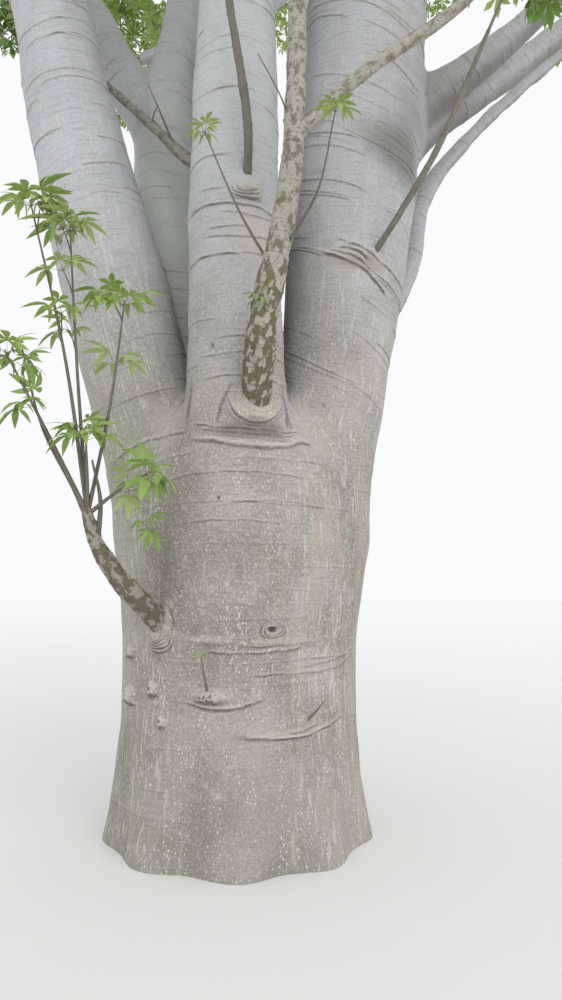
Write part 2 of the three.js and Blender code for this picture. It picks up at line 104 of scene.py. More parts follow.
# The boughs. Each starts at its foot in the trunk's top, or on its parent's centre line at the share of the
# parent's way that leaves gives, passes through its points, and ends where it enters its mass of foliage.
# The radii are those at its start, at each point and at its end.
BOUGHS = {
    "bough_centre": {
        "foot": (0, -0.48, 2.2), "radii": [0.288, 0.254, 0.226, 0.165, 0.085],
        "through": [(-0.022, -0.5, 3.7), (-0.02, -0.5, 4.95), (-0.12, -0.56, 6.8)],
    },
    "bough_left": {
        "foot": (-0.5, -0.08, 2.2), "radii": [0.318, 0.326, 0.268, 0.235, 0.085],
        "through": [(-0.77, -0.12, 3.2), (-1.115, -0.12, 4.54), (-1.33, -0.13, 5.55)],
    },
    "bough_right": {
        "foot": (0.5, -0.03, 2.2), "radii": [0.322, 0.366, 0.414, 0.388, 0.09],
        "through": [(0.637, -0.05, 3.235), (0.7, -0.05, 3.95), (0.821, -0.05, 5.3)],
    },
    "bough_rear_left": {
        "foot": (-0.34, 0.38, 2.2), "radii": [0.262, 0.218, 0.196, 0.118, 0.065],
        "through": [(-0.53, 0.35, 3.7), (-0.585, 0.42, 4.61), (-0.474, 0.5, 5.77)],
    },
    "bough_rear": {
        "foot": (0.02, 0.52, 2.2), "radii": [0.28, 0.2, 0.165, 0.065],
        "through": [(-0.06, 0.7, 4.2), (-0.08, 0.85, 5.7)],
    },
    "bough_rear_right": {
        "foot": (0.43, 0.4, 2.2), "radii": [0.272, 0.215, 0.175, 0.07],
        "through": [(0.6, 0.56, 4.0), (0.74, 0.7, 5.4)],
    },
    "bough_left_outer": {
        "parent": "bough_left", "leaves": 0.68, "radii": [0.185, 0.14, 0.07],
        "through": [(-1.9, -0.42, 5.95)],
    },
    "bough_left_front": {
        "parent": "bough_left", "leaves": 0.75, "radii": [0.165, 0.125, 0.065],
        "through": [(-1.5, -0.7, 6.05)],
    },
    "bough_rear_left_outer": {
        "parent": "bough_rear_left", "leaves": 0.49, "radii": [0.17, 0.155, 0.14, 0.065],
        "through": [(-0.954, 0.5, 5.209), (-1.251, 0.56, 5.769)],
    },
    "bough_rear_side": {
        "parent": "bough_rear", "leaves": 0.66, "radii": [0.13, 0.105, 0.06],
        "through": [(-0.45, 1.5, 6.25)],
    },
    "bough_centre_front": {
        "parent": "bough_centre", "leaves": 0.68, "radii": [0.15, 0.115, 0.06],
        "through": [(-0.22, -1.15, 6.95)],
    },
    "bough_right_outer": {
        "parent": "bough_right", "leaves": 0.8, "radii": [0.23, 0.16, 0.065],
        "through": [(1.3, -0.42, 7.0)],
    },
    "bough_right_front": {
        "parent": "bough_right", "leaves": 0.77, "radii": [0.2, 0.125, 0.06],
        "through": [(1.0, -0.95, 6.5)],
    },
    "bough_right_rear": {
        "parent": "bough_right", "leaves": 0.86, "radii": [0.17, 0.125, 0.06],
        "through": [(1.7, 0.33, 7.35)],
    },
    "limb_upper": {
        "parent": "bough_right", "leaves": 0.54, "radii": [0.19, 0.12, 0.09, 0.05],
        "through": [(1.2, -0.12, 4.53), (1.838, -0.25, 5.003)],
    },
    "limb_lower": {
        "parent": "bough_right", "leaves": 0.51, "radii": [0.17, 0.112, 0.086, 0.05],
        "through": [(1.192, 0.02, 4.42), (1.997, 0.18, 5.09)],
    },
    "limb_far_right": {
        "parent": "bough_rear_right", "leaves": 0.09, "radii": [0.095, 0.076, 0.07, 0.056, 0.04],
        "through": [(1.138, 0.5, 3.598), (1.292, 0.6, 4.254), (1.702, 0.75, 4.844)],
    },
}

MAIN_BOUGHS = [name for name, limb in BOUGHS.items() if "foot" in limb]

# The long shoots that rise from old collars in the bark
SHOOTS = {
    "centre_shoot": {
        "foot": (0.11, -0.64, 2.33), "radii": [0.15, 0.074, 0.055, 0.046, 0.024],
        "through": [(0.154, -0.95, 2.726), (0.294, -1.1, 3.436), (0.336, -1.12, 4.38)],
    },
    "centre_shoot_fork": {
        "parent": "centre_shoot", "leaves": 0.56, "radii": [0.036, 0.033, 0.027, 0.016],
        "through": [(0.634, -1.2, 3.912), (1.132, -1.3, 4.226)],
    },
    "upper_shoot": {
        "foot": (0.05, -0.62, 3.56), "radii": [0.062, 0.025, 0.02, 0.012],
        "through": [(0.074, -0.86, 3.854), (-0.025, -0.95, 4.526)],
    },
    "crotch_shoot": {
        "foot": (-0.09, -0.39, 3.93), "radii": [0.08, 0.04, 0.03, 0.02, 0.012],
        "through": [(-0.317, -0.15, 4.105), (-0.617, 0.02, 4.47), (-1.147, 0.23, 5.045)],
    },
    "right_shoot": {
        "foot": (0.73, -0.3, 3.3), "radii": [0.06, 0.023, 0.018, 0.011],
        "through": [(0.929, -0.55, 3.553), (1.115, -0.7, 3.846)],
    },
    "low_left_branch": {
        "foot": (-0.33, -0.43, 1.13), "radii": [0.105, 0.064, 0.05, 0.038], "end": (-0.655, -0.93, 1.64),
        "through": [(-0.459, -0.69, 1.337), (-0.561, -0.82, 1.473)],
    },
}

# The leafy sprigs: each starts at a place and sends a twig to each tip. Its stem is so thick at its start,
# and its leaves so large.
SPRIGS = {
    "low_left_sprigs": {
        "start": (-0.655, -0.93, 1.64), "stem": (-0.69, -0.98, 1.79), "thick": 0.03, "size": 1.0,
        "tips": [(-0.506, -1.1, 2.823), (-0.738, -1.25, 3.128), (-0.911, -1.3, 3.224), (-0.678, -1.1, 2.164),
                 (-0.377, -1.05, 1.99), (-1.06, -1.15, 2.56)],
    },
    "centre_sprig_left": {
        "start": (0.215, -1.02, 3.0), "stem": (0.043, -1.03, 3.307), "thick": 0.009, "size": 0.6,
        "tips": [(-0.133, -1.05, 3.714)],
    },
    "centre_sprig_right": {
        "start": (0.29, -1.08, 3.13), "stem": (0.421, -1.3, 3.273), "thick": 0.009, "size": 0.6,
        "tips": [(0.494, -1.42, 3.576)],
    },
}
# Bare twigs, each as its points and its first radius
BARE_TWIGS = [
    ([(0.294, -1.1, 3.39), (0.3, -1.13, 3.6), (0.27, -1.14, 3.79), (0.136, -1.16, 4.06)], 0.008),
    ([(0.25, -1.0, 3.06), (0.3, -1.04, 3.015), (0.335, -1.06, 2.965)], 0.008),
    ([(-0.125, -0.7, 0.89), (-0.14, -0.76, 1.0), (-0.15, -0.775, 1.09)], 0.0075),
    ([(0.377, -0.59, 0.73), (0.435, -0.59, 0.785), (0.485, -0.57, 0.845)], 0.007),
    ([(-0.6, -0.0, 4.44), (-0.585, -0.03, 4.5), (-0.555, -0.04, 4.56)], 0.007),
    ([(-0.455, -0.08, 4.29), (-0.54, -0.07, 4.5), (-0.622, -0.06, 4.694)], 0.008),
    ([(-0.66, -0.94, 1.66), (-0.75, -1.0, 1.9), (-0.9, -1.05, 2.2), (-1.0, -1.1, 2.6)], 0.012),
    ([(-0.65, -0.94, 1.66), (-0.63, -0.98, 1.86), (-0.66, -1.04, 2.05)], 0.016),
]
# Small tufts of leaves right on the wood: place, the way out, how many leaves and how large
WOOD_TUFTS = [
    ((-0.15, -0.775, 1.09), (0.1, -0.3, 1), 4, 0.22),
    ((0.155, -1.04, 2.86), (-0.4, -0.7, 0.5), 5, 0.5),
    ((-0.5, -0.95, 1.93), (0.7, -0.4, 0.3), 5, 0.8),
    ((-0.42, -0.98, 1.75), (0.8, -0.4, 0.0), 4, 0.8),
    ((-0.7, -1.04, 2.2), (-0.3, -0.5, 0.6), 5, 0.8),
    ((-0.93, -1.1, 2.3), (-0.6, -0.4, 0.4), 5, 0.9),
]

# The masses of foliage: each one's limb, the middle of its space, that space's radius and its seed
CROWN_MASSES = {
    "foliage_centre": ("bough_centre", (-0.25, -0.7, 10.05), 1.6, 11),
    "foliage_left": ("bough_left", (-2.4, -0.5, 8.85), 1.55, 12),
    "foliage_right": ("bough_right", (1.15, 0.35, 10.35), 1.55, 13),
    "foliage_rear_left": ("bough_rear_left", (-0.85, 1.85, 9.45), 1.55, 14),
    "foliage_rear": ("bough_rear", (0.7, 3.4, 8.75), 1.5, 15),
    "foliage_rear_right": ("bough_rear_right", (2.45, 2.65, 8.75), 1.55, 16),
    "foliage_left_outer": ("bough_left_outer", (-3.75, -1.05, 7.55), 1.45, 17),
    "foliage_left_front": ("bough_left_front", (-2.35, -2.6, 7.5), 1.45, 18),
    "foliage_rear_left_outer": ("bough_rear_left_outer", (-2.85, 2.05, 8.05), 1.5, 19),
    "foliage_rear_side": ("bough_rear_side", (-1.65, 3.65, 7.6), 1.35, 20),
    "foliage_centre_front": ("bough_centre_front", (-0.65, -2.75, 8.75), 1.4, 21),
    "foliage_right_outer": ("bough_right_outer", (2.7, -1.65, 8.95), 1.45, 22),
    "foliage_right_front": ("bough_right_front", (1.25, -3.0, 8.35), 1.35, 23),
    "foliage_right_rear": ("bough_right_rear", (3.05, 0.5, 9.3), 1.4, 27),
    "foliage_limb_upper": ("limb_upper", (3.75, -1.7, 7.05), 1.35, 24),
    "foliage_limb_lower": ("limb_lower", (4.35, 0.35, 7.05), 1.3, 25),
    "foliage_far_right": ("limb_far_right", (3.95, 2.15, 7.45), 1.3, 26),
}
# The shoots' smaller masses have their own leaf size and number of leaves in the source
SHOOT_MASSES = {
    "shoot_foliage": ("centre_shoot", (0.4, -1.5, 6.65), 0.62, 31, 0.24, 5),
    "fork_foliage": ("centre_shoot_fork", (2.05, -1.55, 5.2), 0.52, 32, 0.2, 4),
    "upper_shoot_foliage": ("upper_shoot", (-0.22, -1.15, 5.95), 0.43, 33, 0.17, 4),
    "crotch_foliage": ("crotch_shoot", (-1.75, 0.56, 5.65), 0.43, 34, 0.17, 4),
    "right_shoot_foliage": ("right_shoot", (1.5, -0.9, 4.72), 0.43, 35, 0.17, 4),
}
CROWN_LEAF = 0.58  # length of the source's leaflet, each of whose leaves stands for a spray
CROWN_LEAVES = 11
MASSES = {}
for mass_name, (limb, centre, radius, seed, *own) in {**CROWN_MASSES, **SHOOT_MASSES}.items():
    leaf, leaves = own or (CROWN_LEAF, CROWN_LEAVES)
    MASSES[mass_name] = {
        "limb": limb, "centre": np.array(centre), "radius": radius, "seed": seed,
        "leaf": leaf, "leaves": leaves,
    }

RING_SEED, WAVES_SEED, SPRIG_SEED = 50, 77, 404
ANY_PHASE = 6.3  # radians, the most by which a wave is shifted


def seeded(seed):
    """A function that gives evenly spread numbers from 0 to 1, the same for the same seed."""
    state = seed

    def following():
        nonlocal state
        state = (state * 1664525 + 1013904223) % 2**32
        return state / 2**32

    return following


def lerp(low, high, share):
    return low + (high - low) * share


def smoothstep(values, low, high):
    share = np.clip((values - low) / (high - low), 0, 1)
    return share * share * (3 - 2 * share)


def unit(vectors):
    return vectors / np.maximum(np.linalg.norm(vectors, axis=-1, keepdims=True), 1e-9)


# Limbs
LIMB_TABLE = {**BOUGHS, **SHOOTS}
LIMB_REACH = 0.72  # a limb ends at this share of its mass's radius from the mass's middle
LIMB_SAMPLES = 60
TANGENT_STEP = 1e-4  # of a curve's way, on each side of the place
LEAST_ACROSS = 0.1  # what is left of a direction below this says little, and another is taken


def curve_point(points, share):
    """A point of the centripetal Catmull-Rom curve through points."""
    place = (len(points) - 1) * share
    i = min(int(place), len(points) - 2)
    weight = place - i
    here, following = points[i], points[i + 1]
    before = points[i - 1] if i > 0 else 2 * points[0] - points[1]
    after = points[i + 2] if i + 2 < len(points) else 2 * points[-1] - points[-2]
    ends = [before, here, following, after]
    first, middle, last = [np.linalg.norm(b - a) ** 0.5 for a, b in zip(ends, ends[1:])]
    leaving = (here - before) / first - (following - before) / (first + middle) + (following - here) / middle
    arriving = (following - here) / middle - (after - here) / (middle + last) + (after - following) / last
    leaving, arriving = leaving * middle, arriving * middle
    square = 3 * (following - here) - 2 * leaving - arriving
    cube = 2 * (here - following) + leaving + arriving
    return here + leaving * weight + square * weight**2 + cube * weight**3


def curve_tangent(points, share):
    low, high = max(0, share - TANGENT_STEP), min(1, share + TANGENT_STEP)
    return unit(curve_point(points, high) - curve_point(points, low))


def mass_entry(limb_name, start):
    """Where the straight way from a limb's last point to the middle of its mass goes in among the foliage."""
    mass = next(mass for mass in MASSES.values() if mass["limb"] == limb_name)
    way = start - mass["centre"]
    return mass["centre"] + way * (LIMB_REACH * mass["radius"] / np.linalg.norm(way))


def limb_points(name):
    limb = LIMB_TABLE[name]
    if "parent" in limb:
        points = [curve_point(limb_points(limb["parent"]), limb["leaves"])]
    else:
        points = [np.array(limb["foot"], float)]
    points += [np.array(point, float) for point in limb["through"]]
    points.append(np.array(limb["end"], float) if "end" in limb else mass_entry(name, points[-1]))
    return points


def limb_radius(name, share):
    radii = LIMB_TABLE[name]["radii"]
    return float(np.interp(share * (len(radii) - 1), range(len(radii)), radii))


def frames_along(line):
    """At each point of a line, two directions square to it that turn as little as they can."""
    tangents = unit(np.gradient(line, axis=0))
    across, acrosses = np.array([1.0, 0, 0]), []
    for tangent in tangents:
        across = across - tangent * (across @ tangent)
        if np.linalg.norm(across) < LEAST_ACROSS:
            across = np.array([0, 1.0, 0]) - tangent * tangent[1]
        across = unit(across)
        acrosses.append(across)
    acrosses = np.array(acrosses)
    return acrosses, np.cross(tangents, acrosses)


def way_along(line):
    """How far along a line each of its points is."""
    return np.concatenate([[0], np.cumsum(np.linalg.norm(np.diff(line, axis=0), axis=1))])


def sampled_limb(name):
    """A limb's centre line with its radii, its frames and how far along it each point is."""
    points = limb_points(name)
    shares = np.linspace(0, 1, LIMB_SAMPLES + 1)
    line = np.array([curve_point(points, share) for share in shares])
    across, over = frames_along(line)
    radii = np.array([limb_radius(name, share) for share in shares])
    return {"line": line, "radii": radii, "across": across, "over": over, "along": way_along(line)}


LIMBS = {name: sampled_limb(name) for name in LIMB_TABLE}

# The bark's shape, as the distance from a point to its surface
LEAST_HEIGHT = 0.9  # a bough runs on downwards inside the trunk to here, and narrows
ROOT_TAPER = 0.55
ROOT_SAMPLES = 12
ROOT_SLOPE_SAMPLE = 4  # the root goes on in the direction from this sample to the first
TRUNK_TOP_RADIUS = 0.45
TRUNK_TOP_HEIGHT = 2.46
TRUNK_TOP_START = 1.5
TRUNK_TOP_POWER = 2.4
PROBE = 0.004  # the step over which the trunk's slope is measured
TRUNK_BLEND = 0.2  # how widely the boughs run into the trunk
BOUGH_BLEND = 0.1  # and a main bough into its neighbours
BRANCH_BLEND = 0.6  # and a side limb into its parent, as a share of its radius there
NOWHERE = 9.0  # a distance greater than any that matters
FAR = 0.3  # a stretch of limb further off than this doesn't matter to a point
STRETCH_LENGTH = 6  # samples of a limb that are tested together


def with_root(limb):
    """A main bough's line, run on down inside the trunk."""
    down = limb["line"][0] - limb["line"][ROOT_SLOPE_SAMPLE]
    drop = (limb["line"][0, 2] - LEAST_HEIGHT) / -down[2]
    steps = np.linspace(1, 0, ROOT_SAMPLES, endpoint=False)[:, None]
    return {
        "line": np.concatenate([limb["line"][0] + steps * drop * down, limb["line"]]),
        "radii": np.concatenate([limb["radii"][0] * lerp(1, ROOT_TAPER, steps[:, 0]), limb["radii"]]),
    }


def whole_limb(name):
    """A bough's line and radii, with its root if it is a main one."""
    return with_root(LIMBS[name]) if name in MAIN_BOUGHS else LIMBS[name]


def field_stretches(name):
    """A limb cut into short stretches, each with a ball round it, so that far ones can be passed over."""
    limb, rooted = whole_limb(name), name in MAIN_BOUGHS
    line, radii = limb["line"], limb["radii"]
    stretches = []
    for first in range(0, len(line) - 1, STRETCH_LENGTH):
        part = slice(first, first + STRETCH_LENGTH + 1)
        middle = (line[part].min(0) + line[part].max(0)) / 2
        bound = (np.linalg.norm(line[part] - middle, axis=1) + radii[part]).max() + FAR
        stretches.append((first - ROOT_SAMPLES * rooted, line[part], radii[part], middle, bound))
    return stretches


STRETCHES = {name: field_stretches(name) for name in BOUGHS}


def limb_field(name, where):
    """Which points are near a limb, how far each is from its surface, the way out from its centre line, and
    which of the limb's samples it is beside."""
    distance, outward, beside = np.full(len(where), np.inf), np.zeros((len(where), 3)), np.zeros(len(where))
    for start, line, radii, middle, bound in STRETCHES[name]:
        near = np.flatnonzero(((where - middle) ** 2).sum(1) < bound**2)
        way = np.diff(line, axis=0)
        offset = where[near, None] - line[:-1]
        share = np.clip((offset * way).sum(2) / (way * way).sum(1), 0, 1)
        away = offset - share[..., None] * way
        depth = np.linalg.norm(away, axis=2) - lerp(radii[:-1], radii[1:], share)
        best = depth.argmin(1)
        rows = np.arange(len(near))
        closer = depth[rows, best] < distance[near]
        distance[near[closer]] = depth[rows, best][closer]
        outward[near[closer]] = unit(away[rows, best][closer])
        beside[near[closer]] = (start + best + share[rows, best])[closer]
    near = np.flatnonzero(np.isfinite(distance))
    return near, distance[near], outward[near], beside[near]


def trunk_radius(angle, height):
    above = np.clip((height - WAIST_HEIGHT) / (FORK_HEIGHT - WAIST_HEIGHT), 0, 1)
    below = np.clip((WAIST_HEIGHT - height) / WAIST_HEIGHT, 0, 1)
    widening = (FORK_RADIUS - WAIST_RADIUS) * above**WIDENING_POWER
    plain = WAIST_RADIUS + widening + FOOT_FLARE * below**FLARE_POWER
    drawn_in = np.clip((height - TRUNK_TOP_START) / (TRUNK_TOP_HEIGHT - TRUNK_TOP_START), 0, 1)
    domed = lerp(plain, TRUNK_TOP_RADIUS, drawn_in**TRUNK_TOP_POWER)
    roots = -np.cos(ROOT_LOBES * (angle - math.radians(ROOT_NOTCH_AZIMUTH)))
    return domed + ROOT_LOBE_DEPTH * roots * np.exp(-np.maximum(height, 0) / ROOT_LOBE_HEIGHT)


def trunk_field(where):
    angle, height = np.arctan2(where[:, 1], where[:, 0]), where[:, 2]
    out = np.hypot(where[:, 0], where[:, 1])
    radius = trunk_radius(angle, height)
    rise = (trunk_radius(angle, height + PROBE) - radius) / PROBE
    turn = (trunk_radius(angle + PROBE, height) - radius) / (PROBE * np.maximum(out, 0.1))
    around = np.stack([-np.sin(angle), np.cos(angle)], 1)
    flat = np.stack([np.cos(angle), np.sin(angle)], 1) - turn[:, None] * around
    slope = np.sqrt(1 + rise**2 + turn**2)
    side = (out - radius) / slope
    outward = np.concatenate([flat, -rise[:, None]], 1) / slope[:, None]
    return smooth_union(side, outward, height - TRUNK_TOP_HEIGHT, np.array([[0, 0, 1.0]]), -TRUNK_TOP_BLEND)


def smooth_union(one, one_way, other, other_way, reach):
    """Two distances with their directions as one, rounded where they are within reach of each other. With
    reach below 0 it is the greater of the two in place of the lower."""
    share = np.clip(0.5 + 0.5 * (other - one) / reach, 0, 1)
    distance = lerp(other, one, share) - reach * share * (1 - share)
    return distance, unit(lerp(other_way, one_way, share[:, None]))


def bark_field(where):
    """How far each point is from the bark of the trunk and the boughs, below 0 inside, and the way out."""
    distance, outward = np.full(len(where), NOWHERE), np.tile([0, 0, 1.0], (len(where), 1))
    for name in BOUGHS:
        near, limb_distance, limb_outward, _ = limb_field(name, where)
        blend = BOUGH_BLEND if name in MAIN_BOUGHS else BRANCH_BLEND * BOUGHS[name]["radii"][0]
        distance[near], outward[near] = smooth_union(
            distance[near], outward[near], limb_distance, limb_outward, blend)
    low = np.flatnonzero(where[:, 2] < TRUNK_TOP_HEIGHT + 1)
    trunk_distance, trunk_outward = trunk_field(where[low])
    distance[low], outward[low] = smooth_union(
        distance[low], outward[low], trunk_distance, trunk_outward, TRUNK_BLEND)
    return distance, outward


def on_bark(where, passes):
    """The points moved onto the bark's surface."""
    for _ in range(passes):
        distance, outward = bark_field(where)
        where = where - distance[:, None] * outward
    return where


# Meshes
def mesh_of(name, points, faces):
    mesh = bpy.data.meshes.new(name)
    mesh.from_pydata(points.tolist(), [], faces.tolist() if hasattr(faces, "tolist") else faces)
    mesh.shade_smooth()
    return mesh


def linked(name, data):
    """An object in the scene."""
    thing = bpy.data.objects.new(name, data)
    bpy.context.scene.collection.objects.link(thing)
    return thing


def placed(name, mesh, material_slot, materials, *nodes):
    """Puts a piece of the tree in the scene, which rides on its one body and stands for these nodes."""
    piece = linked(name, mesh)
    for material in materials:
        mesh.materials.append(material)
    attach(piece, "root")
    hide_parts(*nodes)


def tube(line, radii, sides):
    """The points and faces of a closed tube along a line, its ends drawn together."""
    across, over = frames_along(line)
    turns = 2 * np.pi * np.arange(sides) / sides
    spokes = across[:, None] * np.cos(turns)[:, None] + over[:, None] * np.sin(turns)[:, None]
    rings = line[:, None] + spokes * np.asarray(radii)[:, None, None]
    points = np.concatenate([rings.reshape(-1, 3), line[:1], line[-1:]])
    count, first_end, last_end = len(line), len(points) - 2, len(points) - 1
    faces = []
    for side in range(sides):
        beside = (side + 1) % sides
        for ring in range(count - 1):
            low, high = ring * sides, (ring + 1) * sides
            faces.append((low + side, low + beside, high + beside, high + side))
        faces.append((first_end, beside, side))
        top = (count - 1) * sides
        faces.append((last_end, top + side, top + beside))
    return points, faces


def joined(parts):
    """Several (points, faces) as one."""
    points, faces, count = [], [], 0
    for part_points, part_faces in parts:
        points.append(part_points)
        faces += [tuple(count + i for i in face) for face in part_faces]
        count += len(part_points)
    return np.concatenate(points), faces


# The bark's charts: where a place is on the trunk, or round and along a limb
FRONT_ANGLE = -90  # degrees, of the side that faces the camera
TRUNK_ENDS = (2.3, 2.6)  # between these heights the trunk's relief gives way to the boughs' own
TRUNK_CHART_RADIUS = 0.72
CROTCH_FADE = 0.05  # a bough's relief fades out this close to its neighbour
PLACE_BLEND = 0.06


def from_front(angle):
    """An angle in radians as the turn from the front, between minus and plus half a turn."""
    return (angle - math.radians(FRONT_ANGLE) + np.pi) % (2 * np.pi) - np.pi


def straight_start(name):
    """Where a limb starts on the tree when every limb is made straight and upright."""
    limb = LIMB_TABLE[name]
    if "foot" in limb:
        return np.array(limb["foot"], float)
    parent = limb["parent"]
    rise = np.interp(limb["leaves"] * LIMB_SAMPLES, np.arange(LIMB_SAMPLES + 1), LIMBS[parent]["along"])
    return straight_start(parent) + [0, 0, rise]


def limb_chart(name, where, beside):
    """Each point's turn from the front round a limb, its way along, and its place on the straight limb."""
    limb, samples = LIMBS[name], np.arange(LIMB_SAMPLES + 1)

    def at(rows):
        return np.stack([np.interp(beside, samples, column) for column in rows.T], 1)

    offset = where - at(limb["line"])
    across, over = at(limb["across"]), at(limb["over"])
    aside, forth = (offset * across).sum(1), (offset * over).sum(1)
    along = np.interp(beside, samples, limb["along"]) + (offset * np.cross(across, over)).sum(1)
    place = straight_start(name) + np.stack([aside, forth, along], 1)
    return from_front(np.arctan2(forth, aside)), along, place


def bark_chart(where):
    """For points on the bark: their own limb, the turn and the way along it, how much nearer they are to it
    than to the next one, how far they are the trunk's, and their place on the straightened tree."""
    count = len(where)
    best, following = np.full(count, NOWHERE), np.full(count, NOWHERE)
    owner, turn, along = np.full(count, -1), np.zeros(count), np.zeros(count)
    place, following_place = where.copy(), where.copy()
    for index, name in enumerate(BOUGHS):
        near, distance, _, beside = limb_field(name, where)
        own_turn, own_along, own_place = limb_chart(name, where[near], beside)
        closer = distance < best[near]
        rows = near[closer]
        following[rows], following_place[rows] = best[rows], place[rows]
        best[rows], place[rows], owner[rows] = distance[closer], own_place[closer], index
        turn[rows], along[rows] = own_turn[closer], own_along[closer]
        beaten = ~closer & (distance < following[near])
        following[near[beaten]], following_place[near[beaten]] = distance[beaten], own_place[beaten]
    trunk = 1 - smoothstep(where[:, 2], *TRUNK_ENDS)
    trunk[owner < 0] = 1
    lead = following - best
    shared = 0.5 * (1 - smoothstep(lead, 0, PLACE_BLEND))
    place = lerp(lerp(place, following_place, shared[:, None]), where, trunk[:, None])
    return {
        "owner": owner, "turn": turn, "along": along, "lead": lead, "trunk": trunk, "place": place,
        "trunk_turn": from_front(np.arctan2(where[:, 1], where[:, 0])), "height": where[:, 2],
    }


def between(chart, first, second, share):
    """The chart of points on the ways between pairs of charted points, for pairs on the same limb."""
    kept = ("turn", "along", "lead", "trunk", "trunk_turn", "height")
    made = {key: lerp(chart[key][first], chart[key][second], share) for key in kept}
    made["owner"] = chart["owner"][first]
    return made


# The bark's relief. Places are in degrees from the front, to the right as the camera sees it, and in metres
# up the trunk or along a bough.
RIDGE_WIDTH = 0.006
FOLD_WIDTH = 0.0055
NARROW_FURROW = 0.02  # a furrow less wide than this gets painted shade in its groove
LINE_FADE = 0.05  # over which a line in the bark dies out at its ends
FOLD_ENDS = np.array([-25, 25])  # degrees round a fold's end, over which it dies out
POUCH_ENDS = np.array([-35, 25])
SWELLING_EDGE = 1.6  # how far out a swelling reaches, in its half widths


def smooth_line(xs, zs, x):
    """A smooth curve through (xs, zs), as its height at each x."""
    slopes = np.gradient(zs, xs)
    i = np.clip(np.searchsorted(xs, x) - 1, 0, len(xs) - 2)
    span = xs[i + 1] - xs[i]
    share = np.clip((x - xs[i]) / span, 0, 1)
    low = (1 + 2 * share) * (1 - share) ** 2 * zs[i] + share * (1 - share) ** 2 * span * slopes[i]
    high = share**2 * (3 - 2 * share) * zs[i + 1] + share**2 * (share - 1) * span * slopes[i + 1]
    return low + high


def ridge_profile(steps):
    """Across a line in the bark, in its widths upwards: a rounded ridge over a groove."""
    return np.exp(-((steps - 0.8) ** 2) / 0.5) - 0.9 * np.exp(-((steps + 0.8) ** 2) / 0.4)


def bell(steps):
    return np.exp(-(steps**2))


def on_chart(points, radius):
    """Places in degrees and metres as two rows of metres."""
    places = np.array(points, float)
    return np.radians(places[:, 0]) * radius, places[:, 1]


WAVER = 0.0028  # a line in the bark wanders this far from its smooth course
WAVER_RATES = (38, 91)  # per metre, of its two waves


def drawn_line(points, height, width, profile):
    """Relief along a mostly level line through points, left to right, that wavers in place and strength."""
    phase = 90 * points[0][1] + points[0][0]

    def waver(x):
        return 0.7 * np.sin(WAVER_RATES[0] * x + phase) + 0.4 * np.sin(WAVER_RATES[1] * x + 2 * phase)

    def relief(x, z, radius):
        xs, zs = on_chart(points, radius)
        out = np.zeros(len(x))
        reach = 4 * width
        near = np.flatnonzero((x > xs[0]) & (x < xs[-1]) & (z > zs.min() - reach) & (z < zs.max() + reach))
        steps = (z[near] - smooth_line(xs, zs, x[near]) - WAVER * waver(x[near])) / width
        inwards = np.minimum(x[near] - xs[0], xs[-1] - x[near])
        fade = smoothstep(inwards, 0, min(LINE_FADE, 0.4 * (xs[-1] - xs[0])))
        out[near] = height * profile(steps) * fade * (0.82 + 0.22 * waver(0.6 * x[near] + 0.3))
        return out
    return relief


def as_line(relief):
    """Marks a relief as one whose grooves get painted shade and whose crests get a painted highlight."""
    relief.is_line = True
    return relief


def ridge(height, width, *points):
    return as_line(drawn_line(points, height, width, ridge_profile))


def band(height, width, *points):
    """A soft swelling along a line."""
    return drawn_line(points, height, width, bell)


def furrow(depth, width, *points):
    """A groove that runs mostly upwards, through points from the lowest up."""
    def relief(x, z, radius):
        xs, zs = on_chart(points, radius)
        inwards = np.minimum(z - zs[0], zs[-1] - z)
        fade = smoothstep(inwards, 0, 0.3 * (zs[-1] - zs[0]))
        return -depth * bell((x - smooth_line(zs, xs, z)) / width) * fade
    return as_line(relief) if width < NARROW_FURROW else relief


def swelling(height, degrees, up, half_width, half_height):
    """A rounded rise."""
    def relief(x, z, radius):
        steps = np.hypot((x - math.radians(degrees) * radius) / half_width, (z - up) / half_height)
        return height * (1 - smoothstep(steps, 0, SWELLING_EDGE))
    return relief


def knot(height, degrees, up, size, stretch=1.0):
    """A rounded uneven lump, wider than it is high by stretch, with a pit in its upper left."""
    def relief(x, z, radius):
        across, rise = (x - math.radians(degrees) * radius) / stretch, z - up
        steps, way = np.hypot(across, rise) / size, np.arctan2(rise, across)
        edge = steps * (1 + 0.12 * np.sin(3 * way + degrees) + 0.07 * np.sin(5 * way + 2))
        dome = np.sqrt(np.clip(1 - (edge / 1.1) ** 2, 0, 1))
        pit = bell(np.hypot(across + 0.3 * size, rise - 0.2 * size) / (0.26 * size))
        return height * (0.5 * dome + 0.5 * (1 - smoothstep(edge, 0.2, 1.4)) - 0.4 * pit)
    return relief


def folds(height, degrees, up, rings, flatness, lowest):
    """Concentric wrinkles round a place, from lowest degrees on one side of straight down to as far on the
    other. Each ring is its distance and its strength."""
    def relief(x, z, radius):
        across, rise = x - math.radians(degrees) * radius, (z - up) / flatness
        away = np.hypot(across, rise)
        side = np.abs(np.degrees(np.arctan2(across, -rise)))
        fade = 1 - smoothstep(side, *(lowest + FOLD_ENDS))
        uneven = 0.005 * np.sin(3 * np.arctan2(across, -rise) + 60 * away)
        out = np.zeros(len(x))
        for ring, strength in rings:
            out += strength * ridge_profile((ring + uneven - away) / FOLD_WIDTH)
        return height * out * fade
    return as_line(relief)


def pouch(height, degrees, up, ring, half_width, flatness, lowest):
    """A smooth rounded lip round the lower side of a place."""
    def relief(x, z, radius):
        across, rise = x - math.radians(degrees) * radius, (z - up) / flatness
        side = np.abs(np.degrees(np.arctan2(across, -rise)))
        lip = bell((np.hypot(across, rise) - ring) / half_width)
        return height * lip * (1 - smoothstep(side, *(lowest + POUCH_ENDS)))
    return relief


